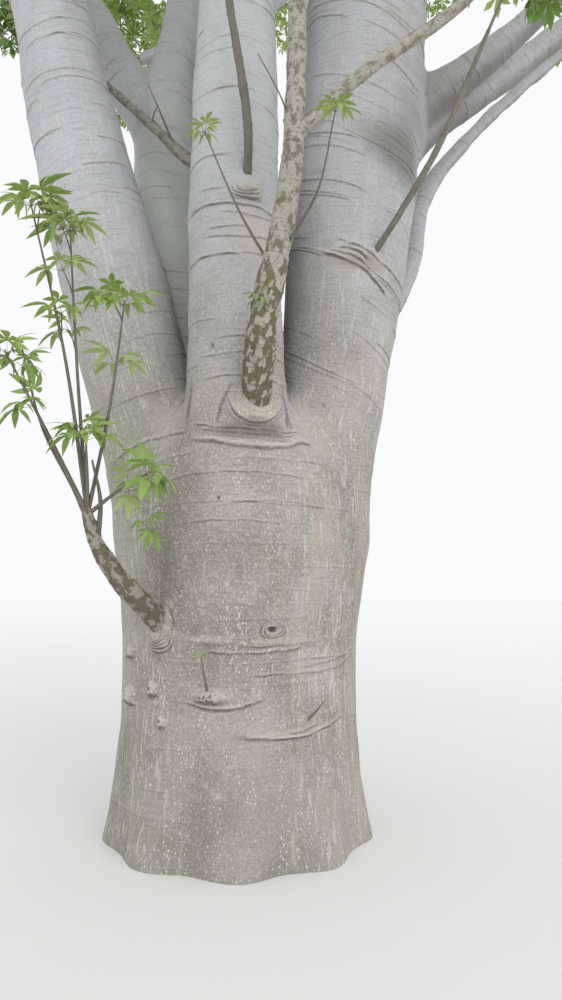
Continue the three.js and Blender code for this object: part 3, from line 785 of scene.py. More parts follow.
def pit(degrees, up, size=0.006):
    def relief(x, z, radius):
        return -0.8 * size * bell(np.hypot(x - math.radians(degrees) * radius, z - up) / size)
    return relief


COLLAR = (9, 2.46)  # the foot of the long shoot
COLLAR_FLATNESS = 1.2
COLLAR_WRINKLES = [(0.072, 0.6), (0.084, 0.8), (0.096, 0.6)]
COLLAR_FOLDS = [(0.143, 1.1), (0.158, 0.5)]
# Buds on the burr: degrees and metres from its middle, and size
BUDS = [(-2.8, 0.014, 0.015), (-1.4, -0.01, 0.016), (-0.4, 0.018, 0.015), (1.2, 0.0, 0.017),
        (2.2, 0.024, 0.014), (3.0, -0.016, 0.012), (-4.2, -0.012, 0.012)]
# Small dark pits in the trunk, the right bough and the centre bough
TRUNK_PIT = (-5.1, 1.893)
RIGHT_PIT = (-7, 0.28)
CENTRE_PIT = (-22, 0.51)
EYE = (16.5, 1.214)
BURR = (-9.4, 0.875)
LOW_COLLAR = (-34, 1.16)  # the foot of the low branch on the left
UPPER_COLLAR = (18, 1.4)
# Knots at the left: height, degrees, metres up, size and how much wider each is than high
KNOTS = [(0.03, -57, 1.075, 0.036, 1.5), (0.04, -56.5, 0.835, 0.05, 1.4), (0.03, -38, 0.892, 0.036, 1.1),
         (0.023, -32, 0.728, 0.028, 1.1)]
# Where the bark's faces are small all over: degrees, metres up and how far round that
DETAIL_SPOTS = [*[(turn, up, 1.5 * size) for _, turn, up, size, _ in KNOTS], (*EYE, 0.05), (*BURR, 0.06),
                (*TRUNK_PIT, 0.02)]
DETAIL_EDGE = 0.008
RELIEF = {
    "trunk": [
        # The long shoot's collar, its flanks and the lines under it
        swelling(0.045, COLLAR[0], COLLAR[1] - 0.05, 0.15, 0.17),
        folds(0.0035, *COLLAR, COLLAR_WRINKLES, COLLAR_FLATNESS, 85),
        folds(0.005, *COLLAR, COLLAR_FOLDS, COLLAR_FLATNESS, 70),
        pouch(0.013, *COLLAR, 0.118, 0.021, COLLAR_FLATNESS, 105),
        furrow(0.007, 0.008, (-6.5, 2.27), (-5, 2.37), (-2, 2.46), (3, 2.57)),
        furrow(0.007, 0.008, (29, 2.26), (26, 2.37), (22, 2.46), (17, 2.55)),
        ridge(0.005, 0.0055, (-18, 2.305), (-6, 2.268), (9, 2.254), (23, 2.264), (34, 2.295)),
        ridge(0.004, 0.005, (-15, 2.27), (-5, 2.243), (8, 2.23), (20, 2.238), (30, 2.26)),
        ridge(0.003, 0.005, (-10, 2.235), (0, 2.217), (12, 2.206), (26, 2.22)),
        ridge(0.0065, 0.012, (-19, 2.225), (-7, 2.195), (8.5, 2.166), (24, 2.19), (34, 2.23), (42, 2.237)),
        # The lines between the fork and the waist
        ridge(0.005, 0.009, (-67, 2.13), (-58, 2.2), (-49, 2.25), (-35, 2.275), (-22, 2.272)),
        ridge(0.003, 0.007, (-43, 2.115), (-30, 2.14), (-16, 2.145)),
        ridge(0.0025, 0.006, (-2, 2.1), (14, 2.108), (30, 2.112), (46, 2.118)),
        ridge(0.003, 0.006, (-60, 1.955), (-43, 1.99), (-24, 2.02), (7, 2.032), (32, 2.02)),
        ridge(0.003, 0.006, (-9, 1.853), (6, 1.878), (18, 1.885), (41, 1.862)),
        ridge(0.003, 0.006, (-27, 1.756), (-14, 1.775), (0, 1.782), (21, 1.765)),
        ridge(0.0025, 0.006, (-48, 1.83), (-38, 1.86), (-27, 1.89)),
        ridge(0.0015, 0.006, (-18, 1.655), (4, 1.665), (26, 1.655)),
        ridge(0.0015, 0.005, (-18, 1.615), (-7, 1.62), (0, 1.615)),
        ridge(0.0015, 0.005, (-16, 1.565), (-5, 1.572), (-1, 1.57)),
        ridge(0.0015, 0.006, (10, 1.42), (20, 1.425), (38, 1.41)),
        ridge(0.0015, 0.006, (-8, 1.345), (0, 1.35), (12, 1.345)),
        # The boughs' grooves run on a little down the trunk, and one as a valley to the low branch
        furrow(0.012, 0.011, (-22.3, 2.3), (-22, 2.4), (-21, 2.52), (-20.5, 2.66)),
        furrow(0.012, 0.013, (25.5, 2.26), (25, 2.38), (23.5, 2.5), (22.5, 2.68)),
        furrow(0.02, 0.05, (-36, 1.2), (-33, 1.5), (-29, 1.9), (-23, 2.3)),
        # The eye and the fold under it
        swelling(0.016, *EYE, 0.062, 0.042),
        swelling(-0.032, EYE[0] - 0.3, EYE[1] + 0.002, 0.026, 0.014),
        folds(0.005, *EYE, [(0.045, 0.8), (0.062, 1)], 0.64, 160),
        band(0.013, 0.024, (-24, 1.165), (-8, 1.158), (3, 1.15), (18, 1.148), (41, 1.145)),
        ridge(0.004, 0.007, (-12, 1.103), (3, 1.1), (14, 1.101), (22, 1.107), (32, 1.118)),
        ridge(0.0025, 0.006, (4, 1.135), (14, 1.132), (28, 1.142)),
        ridge(0.002, 0.006, (-2, 1.17), (6, 1.176), (12, 1.17)),
        # The burr
        swelling(0.03, *BURR, 0.085, 0.042),
        band(0.012, 0.022, (-30, 0.875), (-10, 0.872), (12, 0.882)),
        ridge(0.007, 0.009, (-22, 0.845), (-13, 0.822), (-5, 0.812), (3, 0.828), (14, 0.868)),
        *[knot(0.016, BURR[0] + aside, BURR[1] + rise, size) for aside, rise, size in BUDS],
        # The old wound low on the right, and the doubled lines over it
        band(0.016, 0.03, (-4, 0.69), (12, 0.71), (28, 0.735), (44, 0.76), (58, 0.79)),
        ridge(0.006, 0.008, (4, 0.672), (18, 0.66), (28, 0.656), (44, 0.69), (58, 0.735)),
        ridge(0.005, 0.006, (24, 0.677), (32, 0.69), (41, 0.722)),
        ridge(0.003, 0.007, (4, 0.985), (20, 0.986), (34, 0.985), (48, 0.992), (60, 1.02), (72, 1.065)),
        ridge(0.003, 0.006, (30, 1.015), (44, 1.03), (58, 1.055), (74, 1.085)),
        # The knots at the left
        *[knot(*lump) for lump in KNOTS],
        *[folds(0.0035, turn, up, [(1.15 * size, 1)], 1.0, 55) for _, turn, up, size, _ in KNOTS],
        # The foot of the low branch
        swelling(0.05, LOW_COLLAR[0], LOW_COLLAR[1] - 0.01, 0.075, 0.085),
        swelling(0.035, LOW_COLLAR[0] + 5, LOW_COLLAR[1] + 0.13, 0.045, 0.12),
        folds(0.005, LOW_COLLAR[0], LOW_COLLAR[1] + 0.03,
              [(0.035, 0.9), (0.05, 1), (0.065, 0.8), (0.08, 1), (0.097, 0.9)], 1.0, 75),
        furrow(0.004, 0.006, (-26.5, 1.2), (-26, 1.27), (-27.5, 1.33), (-30, 1.38)),
        # Faint lines near the ground
        ridge(0.0015, 0.006, (-42, 0.585), (-30, 0.6), (-14, 0.59)),
        ridge(0.0015, 0.006, (-6, 0.598), (0, 0.602), (6, 0.607)),
        ridge(0.0015, 0.006, (-12, 0.505), (-2, 0.515), (5, 0.53)),
        ridge(0.0015, 0.006, (-28, 0.255), (-18, 0.25), (-10, 0.252)),
        pit(*TRUNK_PIT),
    ],
    "bough_centre": [
        swelling(0.045, UPPER_COLLAR[0], UPPER_COLLAR[1] - 0.01, 0.075, 0.06),
        folds(0.005, *UPPER_COLLAR, [(0.05, 0.8), (0.068, 1), (0.088, 0.8)], 0.85, 80),
        band(0.008, 0.016, (-16, 1.352), (4, 1.345), (22, 1.34), (52, 1.35)),
        ridge(0.005, 0.007, (-70, 1.29), (-30, 1.305), (10, 1.3), (40, 1.295), (68, 1.28)),
        pit(*CENTRE_PIT, 0.007),
    ],
    "bough_right": [
        ridge(0.003, 0.006, (-31, 0.3), (-12, 0.26), (12, 0.21), (34, 0.15), (50, 0.12)),
        ridge(0.007, 0.009, (-27, 1.19), (-10, 1.16), (12, 1.11), (30, 1.05), (46, 0.99)),
        ridge(0.005, 0.007, (-20, 1.205), (-6, 1.185), (10, 1.15), (24, 1.1)),
        ridge(0.005, 0.007, (-14, 1.22), (-2, 1.21), (10, 1.185), (20, 1.15)),
        ridge(0.004, 0.006, (-8, 1.235), (2, 1.232), (12, 1.215)),
        swelling(0.03, 12, 1.215, 0.09, 0.05),
        folds(0.0036, 60, 2.2, [(0.3, 0.6), (0.36, 0.8), (0.42, 0.7), (0.49, 1), (0.56, 0.7), (0.64, 1.2)],
              0.6, 45),
        pit(*RIGHT_PIT, 0.007),
    ],
    "bough_left": [
        knot(0.018, -41, 1.4, 0.03),
        folds(0.0032, 40, 3.12, [(0.15, 0.8), (0.19, 1), (0.24, 0.7), (0.29, 0.5)], 0.7, 50),
    ],
}

# The rings that old leaf scars leave round the trunk and the limbs
RING_STYLES = {
    "trunk": {"spacing": 0.13, "slant": 0, "height": 0.0014, "first": 0.25, "last": 2.05},
    "bough_centre": {"spacing": 0.082, "slant": 0.0, "height": 0.0035},
    "bough_left": {"spacing": 0.085, "slant": 0.05, "height": 0.0033},
    "bough_right": {"spacing": 0.078, "slant": -0.32, "height": 0.0034},
}
LIMB_RINGS = {"spacing": 0.1, "slant": 0, "height": 0.0026}
RINGS_START = 0.16
RING_HALF = (0.09, 0.42)  # the least and the most of half a ring's length, as a share of half the way round
RING_WOBBLE = 0.008
RING_SHIFT = 0.02  # up or down between the rings of one height
RING_STRENGTHS = (0.5, 1.1)
SPACING_SHARES = (0.65, 1.35)  # the least and the most of the way from one ring to the next, in spacings
SHELF = 0.03


def ring_radius(name):
    return TRUNK_CHART_RADIUS if name == "trunk" else float(LIMBS[name]["radii"][:LIMB_SAMPLES // 2].mean())


def seeded_rings(name, seed):
    """Broken rings one over another: each one's middle, half length, height and phase, as columns."""
    style, random = {**LIMB_RINGS, **RING_STYLES.get(name, {})}, seeded(seed)
    last = style.get("last") or LIMBS[name]["along"][-1]
    up, rows = style.get("first", RINGS_START), []
    half_round = math.pi * ring_radius(name)
    while up < last:
        for _ in range(2):
            middle = half_round * (2 * random() - 1)
            half = half_round * lerp(*RING_HALF, random())
            place = up + RING_SHIFT * (random() - 0.5)
            rows.append((middle, place, half, lerp(*RING_STRENGTHS, random()), ANY_PHASE * random()))
        up += style["spacing"] * lerp(*SPACING_SHARES, random())
    return np.array(rows + [(0, 0, 0, 0, 0)]), style["slant"], style["height"]


def ring_shelves(rings, slant):
    """For each short stretch upwards, the rings that may cross it, filled up with the last row, no ring."""
    reach = abs(slant) * rings[:, 2] + RING_WOBBLE + 3 * RIDGE_WIDTH
    count = int(rings[:, 1].max() / SHELF) + 3
    low, high = (rings[:, 1] - reach)[:-1], (rings[:, 1] + reach)[:-1]
    shelves = [np.flatnonzero((high > SHELF * shelf) & (low < SHELF * (shelf + 1))) for shelf in range(count)]
    widest, no_ring = max(len(shelf) for shelf in shelves), len(rings) - 1
    filled = [np.concatenate([shelf, np.full(widest - len(shelf), no_ring)]) for shelf in shelves]
    return np.array(filled, int)


RINGS = {name: seeded_rings(name, RING_SEED + index) for index, name in enumerate(["trunk", *BOUGHS])}
SHELVES = {name: ring_shelves(rings, slant) for name, (rings, slant, _) in RINGS.items()}


def ring_relief(name, x, z, radius):
    rings, slant, height = RINGS[name]
    shelves = SHELVES[name]
    crossing = shelves[np.clip((z / SHELF).astype(int), 0, len(shelves) - 1)]
    middle, up, half, strength, phase = np.moveaxis(rings[crossing], 2, 0)
    way_round = 2 * math.pi * radius
    across = (x[:, None] - middle + way_round / 2) % way_round - way_round / 2
    line = up + slant * across + RING_WOBBLE * np.sin(across / (0.3 * radius) + phase)
    steps = np.clip((z[:, None] - line) / RIDGE_WIDTH, -4, 4)
    fade = np.clip((half - np.abs(across)) / LINE_FADE, 0, 1)
    return height * (strength * fade * ridge_profile(steps)).sum(1)


def chart_rows(chart, name):
    """The charted points that a chart's relief reaches, their places on it and how much of it they take."""
    if name == "trunk":
        rows = np.flatnonzero(chart["trunk"] > 0)
        return rows, chart["trunk_turn"][rows], chart["height"][rows], chart["trunk"][rows]
    rows = np.flatnonzero((chart["owner"] == list(BOUGHS).index(name)) & (chart["trunk"] < 1))
    fade = (1 - chart["trunk"][rows]) * smoothstep(chart["lead"][rows], 0, CROTCH_FADE)
    return rows, chart["turn"][rows], chart["along"][rows], fade


def bark_relief(chart, lines_only=False):
    """How far the bark stands out from its smooth shape at each charted point, or how far its lines do."""
    out = np.zeros(len(chart["height"]))
    for name in ["trunk", *BOUGHS]:
        rows, turn, up, fade = chart_rows(chart, name)
        if not len(rows):
            continue
        radius = ring_radius(name)
        x = turn * radius
        total = ring_relief(name, x, up, radius)
        for feature in RELIEF.get(name, []):
            if hasattr(feature, "is_line") or not lines_only:
                total += feature(x, up, radius)
        out[rows] += fade * total
    return out


# Finer faces where the relief needs them
EDGE_SHARES = [1 / 6, 1 / 3, 1 / 2, 2 / 3, 5 / 6]
SHORTEST_EDGE = 0.005
FRONT_TOLERANCE = 0.0005
BACK_TOLERANCE = 0.0012
BEHIND = (0.1, 0.5)  # how far back a point lies, as a share of its distance from the trunk's axis, where the
# tolerance starts and ends to grow
REFINING_ROUNDS = 3


def mesh_edges(mesh):
    edges = np.empty(2 * len(mesh.edges), np.int32)
    mesh.edges.foreach_get("vertices", edges)
    return edges.reshape(-1, 2)


def edges_to_cut(points, edges, chart, heights):
    """The edges that miss more of the relief than they may."""
    first, second = edges.T
    length = np.linalg.norm(points[first] - points[second], axis=1)
    same = (chart["owner"][first] == chart["owner"][second]) | (chart["trunk"][first] == 1)
    unbroken = (np.abs(chart["turn"][first] - chart["turn"][second]) < 1) & (
        np.abs(chart["trunk_turn"][first] - chart["trunk_turn"][second]) < 1)
    tested = np.flatnonzero(same & unbroken & (length > SHORTEST_EDGE))
    first, second = first[tested], second[tested]
    missed = np.zeros(len(tested))
    for share in EDGE_SHARES:
        there = bark_relief(between(chart, first, second, share))
        missed = np.maximum(missed, np.abs(there - lerp(heights[first], heights[second], share)))
    middle = between(chart, first, second, 0.5)
    for degrees, up, reach in DETAIL_SPOTS:
        across = (middle["trunk_turn"] - math.radians(degrees)) * TRUNK_CHART_RADIUS
        inside = (np.hypot(across, middle["height"] - up) < reach) & (length[tested] > DETAIL_EDGE)
        missed[inside] = 1
    behind = smoothstep(points[first, 1] / np.maximum(np.hypot(*points[first, :2].T), 0.1), *BEHIND)
    return tested[missed > lerp(FRONT_TOLERANCE, BACK_TOLERANCE, behind)]


def with_edges_cut(mesh, chosen):
    shape = bmesh.new()
    shape.from_mesh(mesh)
    shape.edges.ensure_lookup_table()
    edges = [shape.edges[i] for i in chosen.tolist()]
    bmesh.ops.subdivide_edges(shape, edges=edges, cuts=1, use_grid_fill=True)
    shape.to_mesh(mesh)
    shape.free()


def joined_charts(one, other):
    return {key: np.concatenate([one[key], other[key]]) for key in one}


def refined(mesh):
    """Cuts the mesh finer where the relief asks for it, and returns its chart."""
    points = mesh_points(mesh)
    chart = bark_chart(points)
    heights = bark_relief(chart)
    for _ in range(REFINING_ROUNDS):
        chosen = edges_to_cut(points, mesh_edges(mesh), chart, heights)
        with_edges_cut(mesh, chosen)
        added = on_bark(mesh_points(mesh)[len(points):], 1)
        added_chart = bark_chart(added)
        points = np.concatenate([points, added])
        chart = joined_charts(chart, added_chart)
        heights = np.concatenate([heights, bark_relief(added_chart)])
    set_points(mesh, points)
    return chart, heights


# What the bark's material is told, at each point, among it painted shade and painted highlight
CREASE_DEPTH = 0.0032  # a groove this deep gets the darkest painted shade
CREST_HEIGHT = 0.0038  # and a crest this high the palest painted highlight
CROTCH_SHADE = 0.035  # painted shade darkens the bark this close to a neighbouring limb
CROTCH_SHADE_ENDS = (3.2, 3.9)  # but little between limbs above these heights
CROTCH_DARKNESS = (0.6, 0.12)  # below and above them
CREASE_DARKNESS = 0.7


def spot(degrees, up, half_width, half_height, strength=1.0, ragged=0.0, core=0.75):
    """A patch of a tint, fading out from core to its edge."""
    def tint(x, z, radius):
        across, rise = (x - math.radians(degrees) * radius) / half_width, (z - up) / half_height
        edge = ragged * (np.sin(2.1 * across + 4 * rise) + np.sin(5.3 * rise + 1.7 * across))
        return strength * (1 - smoothstep(np.hypot(across, rise) + edge, core, 1.15))
    return tint


TINTS = {
    "tan": {
        "trunk": [
            spot(COLLAR[0], 2.385, 0.13, 0.098, 0.85, core=0.6),
            spot(20, 1.15, 0.2, 0.05, 0.35, core=0.3),
            spot(*BURR, 0.1, 0.035, 0.3, core=0.3),
            spot(30, 0.7, 0.3, 0.05, 0.4, core=0.3),
            spot(-34, 1.17, 0.07, 0.08, 0.5, core=0.3),
            spot(-29, 1.28, 0.035, 0.1, 0.6, core=0.5),
        ],
        "bough_centre": [spot(18, 1.38, 0.12, 0.06, 0.6, core=0.3), spot(30, 1.15, 0.16, 0.2, 0.5, core=0.2)],
        "bough_right": [spot(5, 1.15, 0.25, 0.1, 0.45, core=0.3)],
    },
    # Painted shade: in pits, under lips, rims and ridges, in the low valley and where the limbs leave the
    # right bough
    "shade": {
        "trunk": [
            spot(*EYE, 0.02, 0.01, 1),
            spot(COLLAR[0] - 1, 2.252, 0.23, 0.055, 0.7, 0.05, 0.5),
            spot(-34, 1.14, 0.06, 0.05, 0.35, core=0.2),
            spot(*TRUNK_PIT, 0.009, 0.009, 1),
            spot(-29, 1.62, 0.12, 0.42, 0.34, 0.08, 0.0),
            spot(-62, 0.5, 0.12, 0.3, 0.2, 0.1, 0.0),
            *[spot(BURR[0] + turn - 0.8, BURR[1] + up - 0.012, 0.008, 0.008, 0.9) for turn, up, _ in BUDS],
            # Painted shade in the knots' pits and under their rims
            *[spot(turn - 0.8, up + 0.22 * size, 0.48 * size, 0.38 * size, 1.0, core=0.4)
              for _, turn, up, size, _ in KNOTS],
            *[spot(turn, up - 0.95 * size, 0.8 * wider * size, 0.32 * size, 0.55, core=0.3)
              for _, turn, up, size, wider in KNOTS],
        ],
        "bough_right": [
            spot(8, 1.13, 0.2, 0.05, 0.35, core=0.3),
            spot(42, 1.92, 0.3, 0.36, 0.7, 0.1, 0.15),
            spot(*RIGHT_PIT, 0.009, 0.009, 1),
        ],
        "bough_centre": [spot(*CENTRE_PIT, 0.007, 0.014, 1), spot(18, 1.37, 0.05, 0.02, 0.35, core=0.2)],
        "bough_left": [spot(-41, 1.39, 0.025, 0.025, 0.9)],
        "limb_upper": [spot(0, 0.4, 0.9, 0.75, 0.5, 0.05, 0.3)],
        "limb_lower": [spot(0, 0.4, 0.9, 0.75, 0.5, 0.05, 0.3)],
    },
    # Pale patches and a scratch of the bark's own colour, painted light on the rear left bough where it lies
    # in shade, and painted highlights on the knots' tops
    "pale": {
        "bough_centre": [spot(0, 2.8, 0.5, 1.3, 0.35, core=0.4)],
        "bough_rear_left": [spot(0, 1.5, 0.9, 1.6, 1, core=0.4)],
        "bough_right": [spot(33, 0.14, 0.032, 0.115, 1, 0.16)],
        "trunk": [
            spot(-10, 1.17, 0.2, 0.02, 0.4, 0.1, 0.2),
            spot(14, 0.69, 0.2, 0.02, 0.4, 0.1, 0.2),
            # Painted highlights on the knots' tops
            *[spot(turn, up + 0.1 * size, wider * size, size, 0.5, 0, 0.4)
              for _, turn, up, size, wider in KNOTS],
        ],
    },
}
# The ends of a pale scratch on the trunk
SCRATCH = [(-11, 0.45), (0.8, 0.331)]
SCRATCH_WIDTH = 0.003


def scratch_tint(x, z, radius):
    """A pale scratch that slants down to the right."""
    (left, right), (top, bottom) = on_chart(SCRATCH, radius)
    share = (x - left) / (right - left)
    away = np.abs(z - lerp(top, bottom, share)) / SCRATCH_WIDTH
    return np.where((share > 0) & (share < 1), np.exp(-(away**2)), 0)


def bark_tints(chart):
    """Each point's painted shade, tan tint, pale tint with some painted light, and painted highlight on
    crests, from 0 to 1.
    """
    tints = {}
    for kind, patches in TINTS.items():
        tint = np.zeros(len(chart["height"]))
        for name, spots in patches.items():
            rows, turn, up, fade = chart_rows(chart, name)
            radius = ring_radius(name)
            for patch in spots:
                tint[rows] = np.maximum(tint[rows], fade * patch(turn * radius, up, radius))
        tints[kind] = tint
    rows, turn, up, fade = chart_rows(chart, "trunk")
    tints["pale"][rows] += fade * scratch_tint(turn * TRUNK_CHART_RADIUS, up, TRUNK_CHART_RADIUS)
    lines = bark_relief(chart, lines_only=True)
    # Painted shade in the grooves of the bark's lines and a painted highlight on their crests
    creases = np.clip(-lines / CREASE_DEPTH, 0, 1)
    tints["crest"] = np.clip(lines / CREST_HEIGHT, 0, 1)
    # Painted shade where a limb meets its neighbour
    crotches = (1 - smoothstep(chart["lead"], 0, CROTCH_SHADE)) * (1 - chart["trunk"])
    crotches *= lerp(*CROTCH_DARKNESS, smoothstep(chart["height"], *CROTCH_SHADE_ENDS))
    tints["shade"] = np.clip(np.maximum(tints["shade"], CREASE_DARKNESS * creases) + crotches, 0, 1)
    return tints


def set_attribute(mesh, name, values):
    """Numbers or places kept with a mesh's points, for its material."""
    kind = "FLOAT" if values.ndim == 1 else "FLOAT_VECTOR"
    attribute = mesh.attributes.new(name, kind, "POINT")
    attribute.data.foreach_set("value" if values.ndim == 1 else "vector", values.ravel().astype(np.float32))


# Gentle unevenness of the whole bark
SWELLS = [(0.9, 0.006), (0.38, 0.004), (0.17, 0.0016)]  # how long and how high each set of waves is
WAVES_IN_SET = 5
WAVE_SHARE = 0.45  # of its set's height that each wave has
WAVE_SLANT = 0.6  # how far the waves run up and down, against round


def gentle_waves(where):
    """Low seeded waves over the bark, so that no face of it is quite round."""
    random, out = seeded(WAVES_SEED), np.zeros(len(where))
    for length, height in SWELLS:
        for _ in range(WAVES_IN_SET):
            way = unit(np.array([random() - 0.5, random() - 0.5, WAVE_SLANT * (random() - 0.5)]))
            out += WAVE_SHARE * height * np.sin(where @ way * 2 * np.pi / length + ANY_PHASE * random())
    return out


# Bark mesh
TRUNK_SIDES = 96
TRUNK_RINGS = 40
ENDS_RADIUS = 0.5  # the middles of the trunk's ends lie within this, and all else outside it
LIMB_SIDES = 20
BARK_VOXEL = 0.027
CROWN_VOXEL = 0.034
CROWN_LIMBS_HEIGHT = 5.6  # above this the limbs are a piece of their own, with larger faces
TRUNK_CUT_HEIGHT = 3.3  # and under this so is the trunk, with the feet of the boughs
CUT_OVERLAP = 0.15
UNDER_CUT = 0.1  # the trunk is made this far down and then cut level at the ground


def trunk_column():
    heights = np.linspace(-UNDER_CUT, TRUNK_TOP_HEIGHT, TRUNK_RINGS)
    line = np.array([[0, 0, height] for height in heights])
    points, faces = tube(line, np.ones(len(heights)), TRUNK_SIDES)
    angle = np.arctan2(points[:, 1], points[:, 0])
    on_side = np.hypot(points[:, 0], points[:, 1]) > ENDS_RADIUS
    radius = np.where(on_side, trunk_radius(angle, points[:, 2]), 0)
    points[:, 0], points[:, 1] = radius * np.cos(angle), radius * np.sin(angle)
    return points, faces


def limb_between(name, low, high):
    """The stretch of a limb that lies between two heights, as a tube, or None."""
    limb = whole_limb(name)
    inside = (limb["line"][:, 2] > low) & (limb["line"][:, 2] < high)
    if inside.sum() < 2:
        return None
    return tube(limb["line"][inside], limb["radii"][inside], LIMB_SIDES)


def remeshed(name, parts, voxel):
    """One skin round all the parts, in faces about as large as voxel."""
    rough = linked(name, mesh_of(name, *joined(parts)))
    remesh = rough.modifiers.new("skin", "REMESH")
    remesh.mode = "VOXEL"
    remesh.voxel_size = voxel
    graph = bpy.context.evaluated_depsgraph_get()
    mesh = bpy.data.meshes.new_from_object(rough.evaluated_get(graph))
    mesh.shade_smooth()
    bpy.data.objects.remove(rough)
    return mesh


def mesh_points(mesh):
    points = np.empty(3 * len(mesh.vertices))
    mesh.vertices.foreach_get("co", points)
    return points.reshape(-1, 3)


def set_points(mesh, points):
    mesh.vertices.foreach_set("co", points.ravel())
    mesh.update()


def cut_at(mesh, height, keep_above):
    """Cuts a mesh level at a height, and closes the cut with a flat sharp-edged face."""
    shape = bmesh.new()
    shape.from_mesh(mesh)
    everything = list(shape.verts) + list(shape.edges) + list(shape.faces)
    cut = bmesh.ops.bisect_plane(
        shape, geom=everything, plane_co=(0, 0, height), plane_no=(0, 0, 1),
        clear_inner=keep_above, clear_outer=not keep_above,
    )
    rim = [edge for edge in cut["geom_cut"] if isinstance(edge, bmesh.types.BMEdge)]
    for edge in rim:
        edge.smooth = False
    bmesh.ops.holes_fill(shape, edges=rim)
    shape.to_mesh(mesh)
    shape.free()


def dressed(mesh, chart, heights):
    """Moves a charted mesh's points out by the bark's relief, and keeps its tints with them."""
    points = mesh_points(mesh)
    _, outward = bark_field(points)
    for kind, values in bark_tints(chart).items():
        set_attribute(mesh, kind, values)
    set_attribute(mesh, "bark_place", chart["place"])
    set_points(mesh, points + (heights + gentle_waves(points))[:, None] * outward)


def bark_meshes():
    """The skin of the trunk, and that of the boughs under CROWN_LIMBS_HEIGHT."""
    top = CROWN_LIMBS_HEIGHT + CUT_OVERLAP
    limbs = [limb_between(name, 0, top) for name in BOUGHS]
    mesh = remeshed("trunk_bark", [trunk_column(), *filter(None, limbs)], BARK_VOXEL)
    set_points(mesh, on_bark(mesh_points(mesh), 3))
    chart, heights = refined(mesh)
    dressed(mesh, chart, heights)
    boughs = mesh.copy()
    cut_at(mesh, 0, keep_above=True)
    cut_at(mesh, TRUNK_CUT_HEIGHT, keep_above=False)
    cut_at(boughs, TRUNK_CUT_HEIGHT, keep_above=True)
    cut_at(boughs, CROWN_LIMBS_HEIGHT, keep_above=False)
    return mesh, boughs


def crown_limb_mesh():
    limbs = [limb_between(name, CROWN_LIMBS_HEIGHT - CUT_OVERLAP, math.inf) for name in BOUGHS]
    mesh = remeshed("crown_limbs", list(filter(None, limbs)), CROWN_VOXEL)
    set_points(mesh, on_bark(mesh_points(mesh), 2))
    chart = bark_chart(mesh_points(mesh))
    dressed(mesh, chart, bark_relief(chart))
    cut_at(mesh, CROWN_LIMBS_HEIGHT, keep_above=True)
    return mesh


# Foliage: the source's growing rule
SPACE_HEIGHT = 0.86
SPACE_MARGIN = 0.012
LIMB_MARGIN = 0.04
GAP = 0.0003
SPRING_SHARES = [0.25, 0.4, 0.55, 0.7, 0.85]
STEM_PULL = 0.35
GOLDEN_TURN = math.pi * (3 - math.sqrt(5))
TARGET_SHARE = 0.66
TARGET_SHAKE = 0.12
TURN_SHAKE = 0.3
LOWEST_TARGET = -0.55
STEM_SHARE = 0.8
STEM_END = 0.96
STEM_BEND = 0.45
STEM_TIP = 1.6
STEM_POINTS = 9
STEM_PARTS = 2  # pieces of straight wood that stand for the stem
STEM_SIDES = 8
TWIG_RADIUS = 0.026
TWIG_END = 0.55
TWIG_TAPER = 0.5
LEAF_SPACING = 1.1
LEAFLETS = 5
LEAFLET_OUTLINE = [(-36, 0.17), (-18, 0.56), (0, 1), (18, 0.56)]
LEAF_HALF_THICKNESS = 0.03
LEAF_DROOP = 0.3
LEAF_UPTURN = 0.8
DRAWN_IN = [1, 0.86]

LINE_POINTS = np.concatenate([limb["line"] for limb in LIMBS.values()])
LINE_CLEARANCE = np.concatenate([limb["radii"] for limb in LIMBS.values()]) + LIMB_MARGIN
LINE_LIMB = np.repeat(list(LIMBS), LIMB_SAMPLES + 1)


def in_space(points, name):
    """Which points are inside a mass's space and on its own side of every neighbour's."""
    def depth(mass):
        away = (points - mass["centre"]) / [1, 1, SPACE_HEIGHT]
        return (away**2).sum(1) - mass["radius"] ** 2

    own = depth(MASSES[name]) + 2 * SPACE_MARGIN * MASSES[name]["radius"]
    others = [depth(mass) for other, mass in MASSES.items() if other != name]
    return (own < 0) & (own < np.min(others, axis=0))


def clear_of_limbs(points, besides=None):
    reach = LINE_CLEARANCE[:, None]
    beside = (LINE_POINTS > points.min(0) - reach).all(1) & (LINE_POINTS < points.max(0) + reach).all(1)
    kept = beside & (LINE_LIMB != besides)
    away = ((points[:, None] - LINE_POINTS[kept]) ** 2).sum(2)
    return (away > LINE_CLEARANCE[kept] ** 2).all(1)


def in_box(points, margin=0.0):
    return ((points > CAD_LOW + margin) & (points < CAD_HIGH - margin)).all(1)


def spring_point(wood, target):
    """The place in the wood that is near a target and near the stem's foot, and the wood's radius there."""
    base, best = wood[0]["from"], (math.inf,)
    for twig in wood:
        for share in SPRING_SHARES:
            point = lerp(twig["from"], twig["to"], share)
            cost = np.linalg.norm(point - target) + STEM_PULL * np.linalg.norm(point - base)
            if cost < best[0]:
                best = (cost, point, lerp(twig["thick"], twig["thin"], share))
    return best


def stem_of(mass):
    """A mass's stem, from just clear of the limb's end to near its space's middle: wood, line and radii."""
    points = limb_points(mass["limb"])
    tangent = curve_tangent(points, 1)
    foot = points[-1] + GAP * tangent
    middle = foot + tangent * STEM_BEND * np.linalg.norm(mass["centre"] - foot)
    end = lerp(foot, mass["centre"], STEM_END)
    thin = TWIG_RADIUS * mass["leaf"]
    thick = STEM_SHARE * limb_radius(mass["limb"], 1)

    def place(share):
        return lerp(lerp(foot, middle, share), lerp(middle, end, share), share)

    wood = [
        {"from": place(share), "to": place(share + 0.5), "thick": lerp(thick, STEM_TIP * thin, share),
         "thin": lerp(thick, STEM_TIP * thin, share + 0.5)}
        for share in (0, 0.5)
    ]
    line = np.array([place(share) for share in np.linspace(0, 1, STEM_POINTS)])
    return wood, line, np.linspace(thick, STEM_TIP * thin, STEM_POINTS)


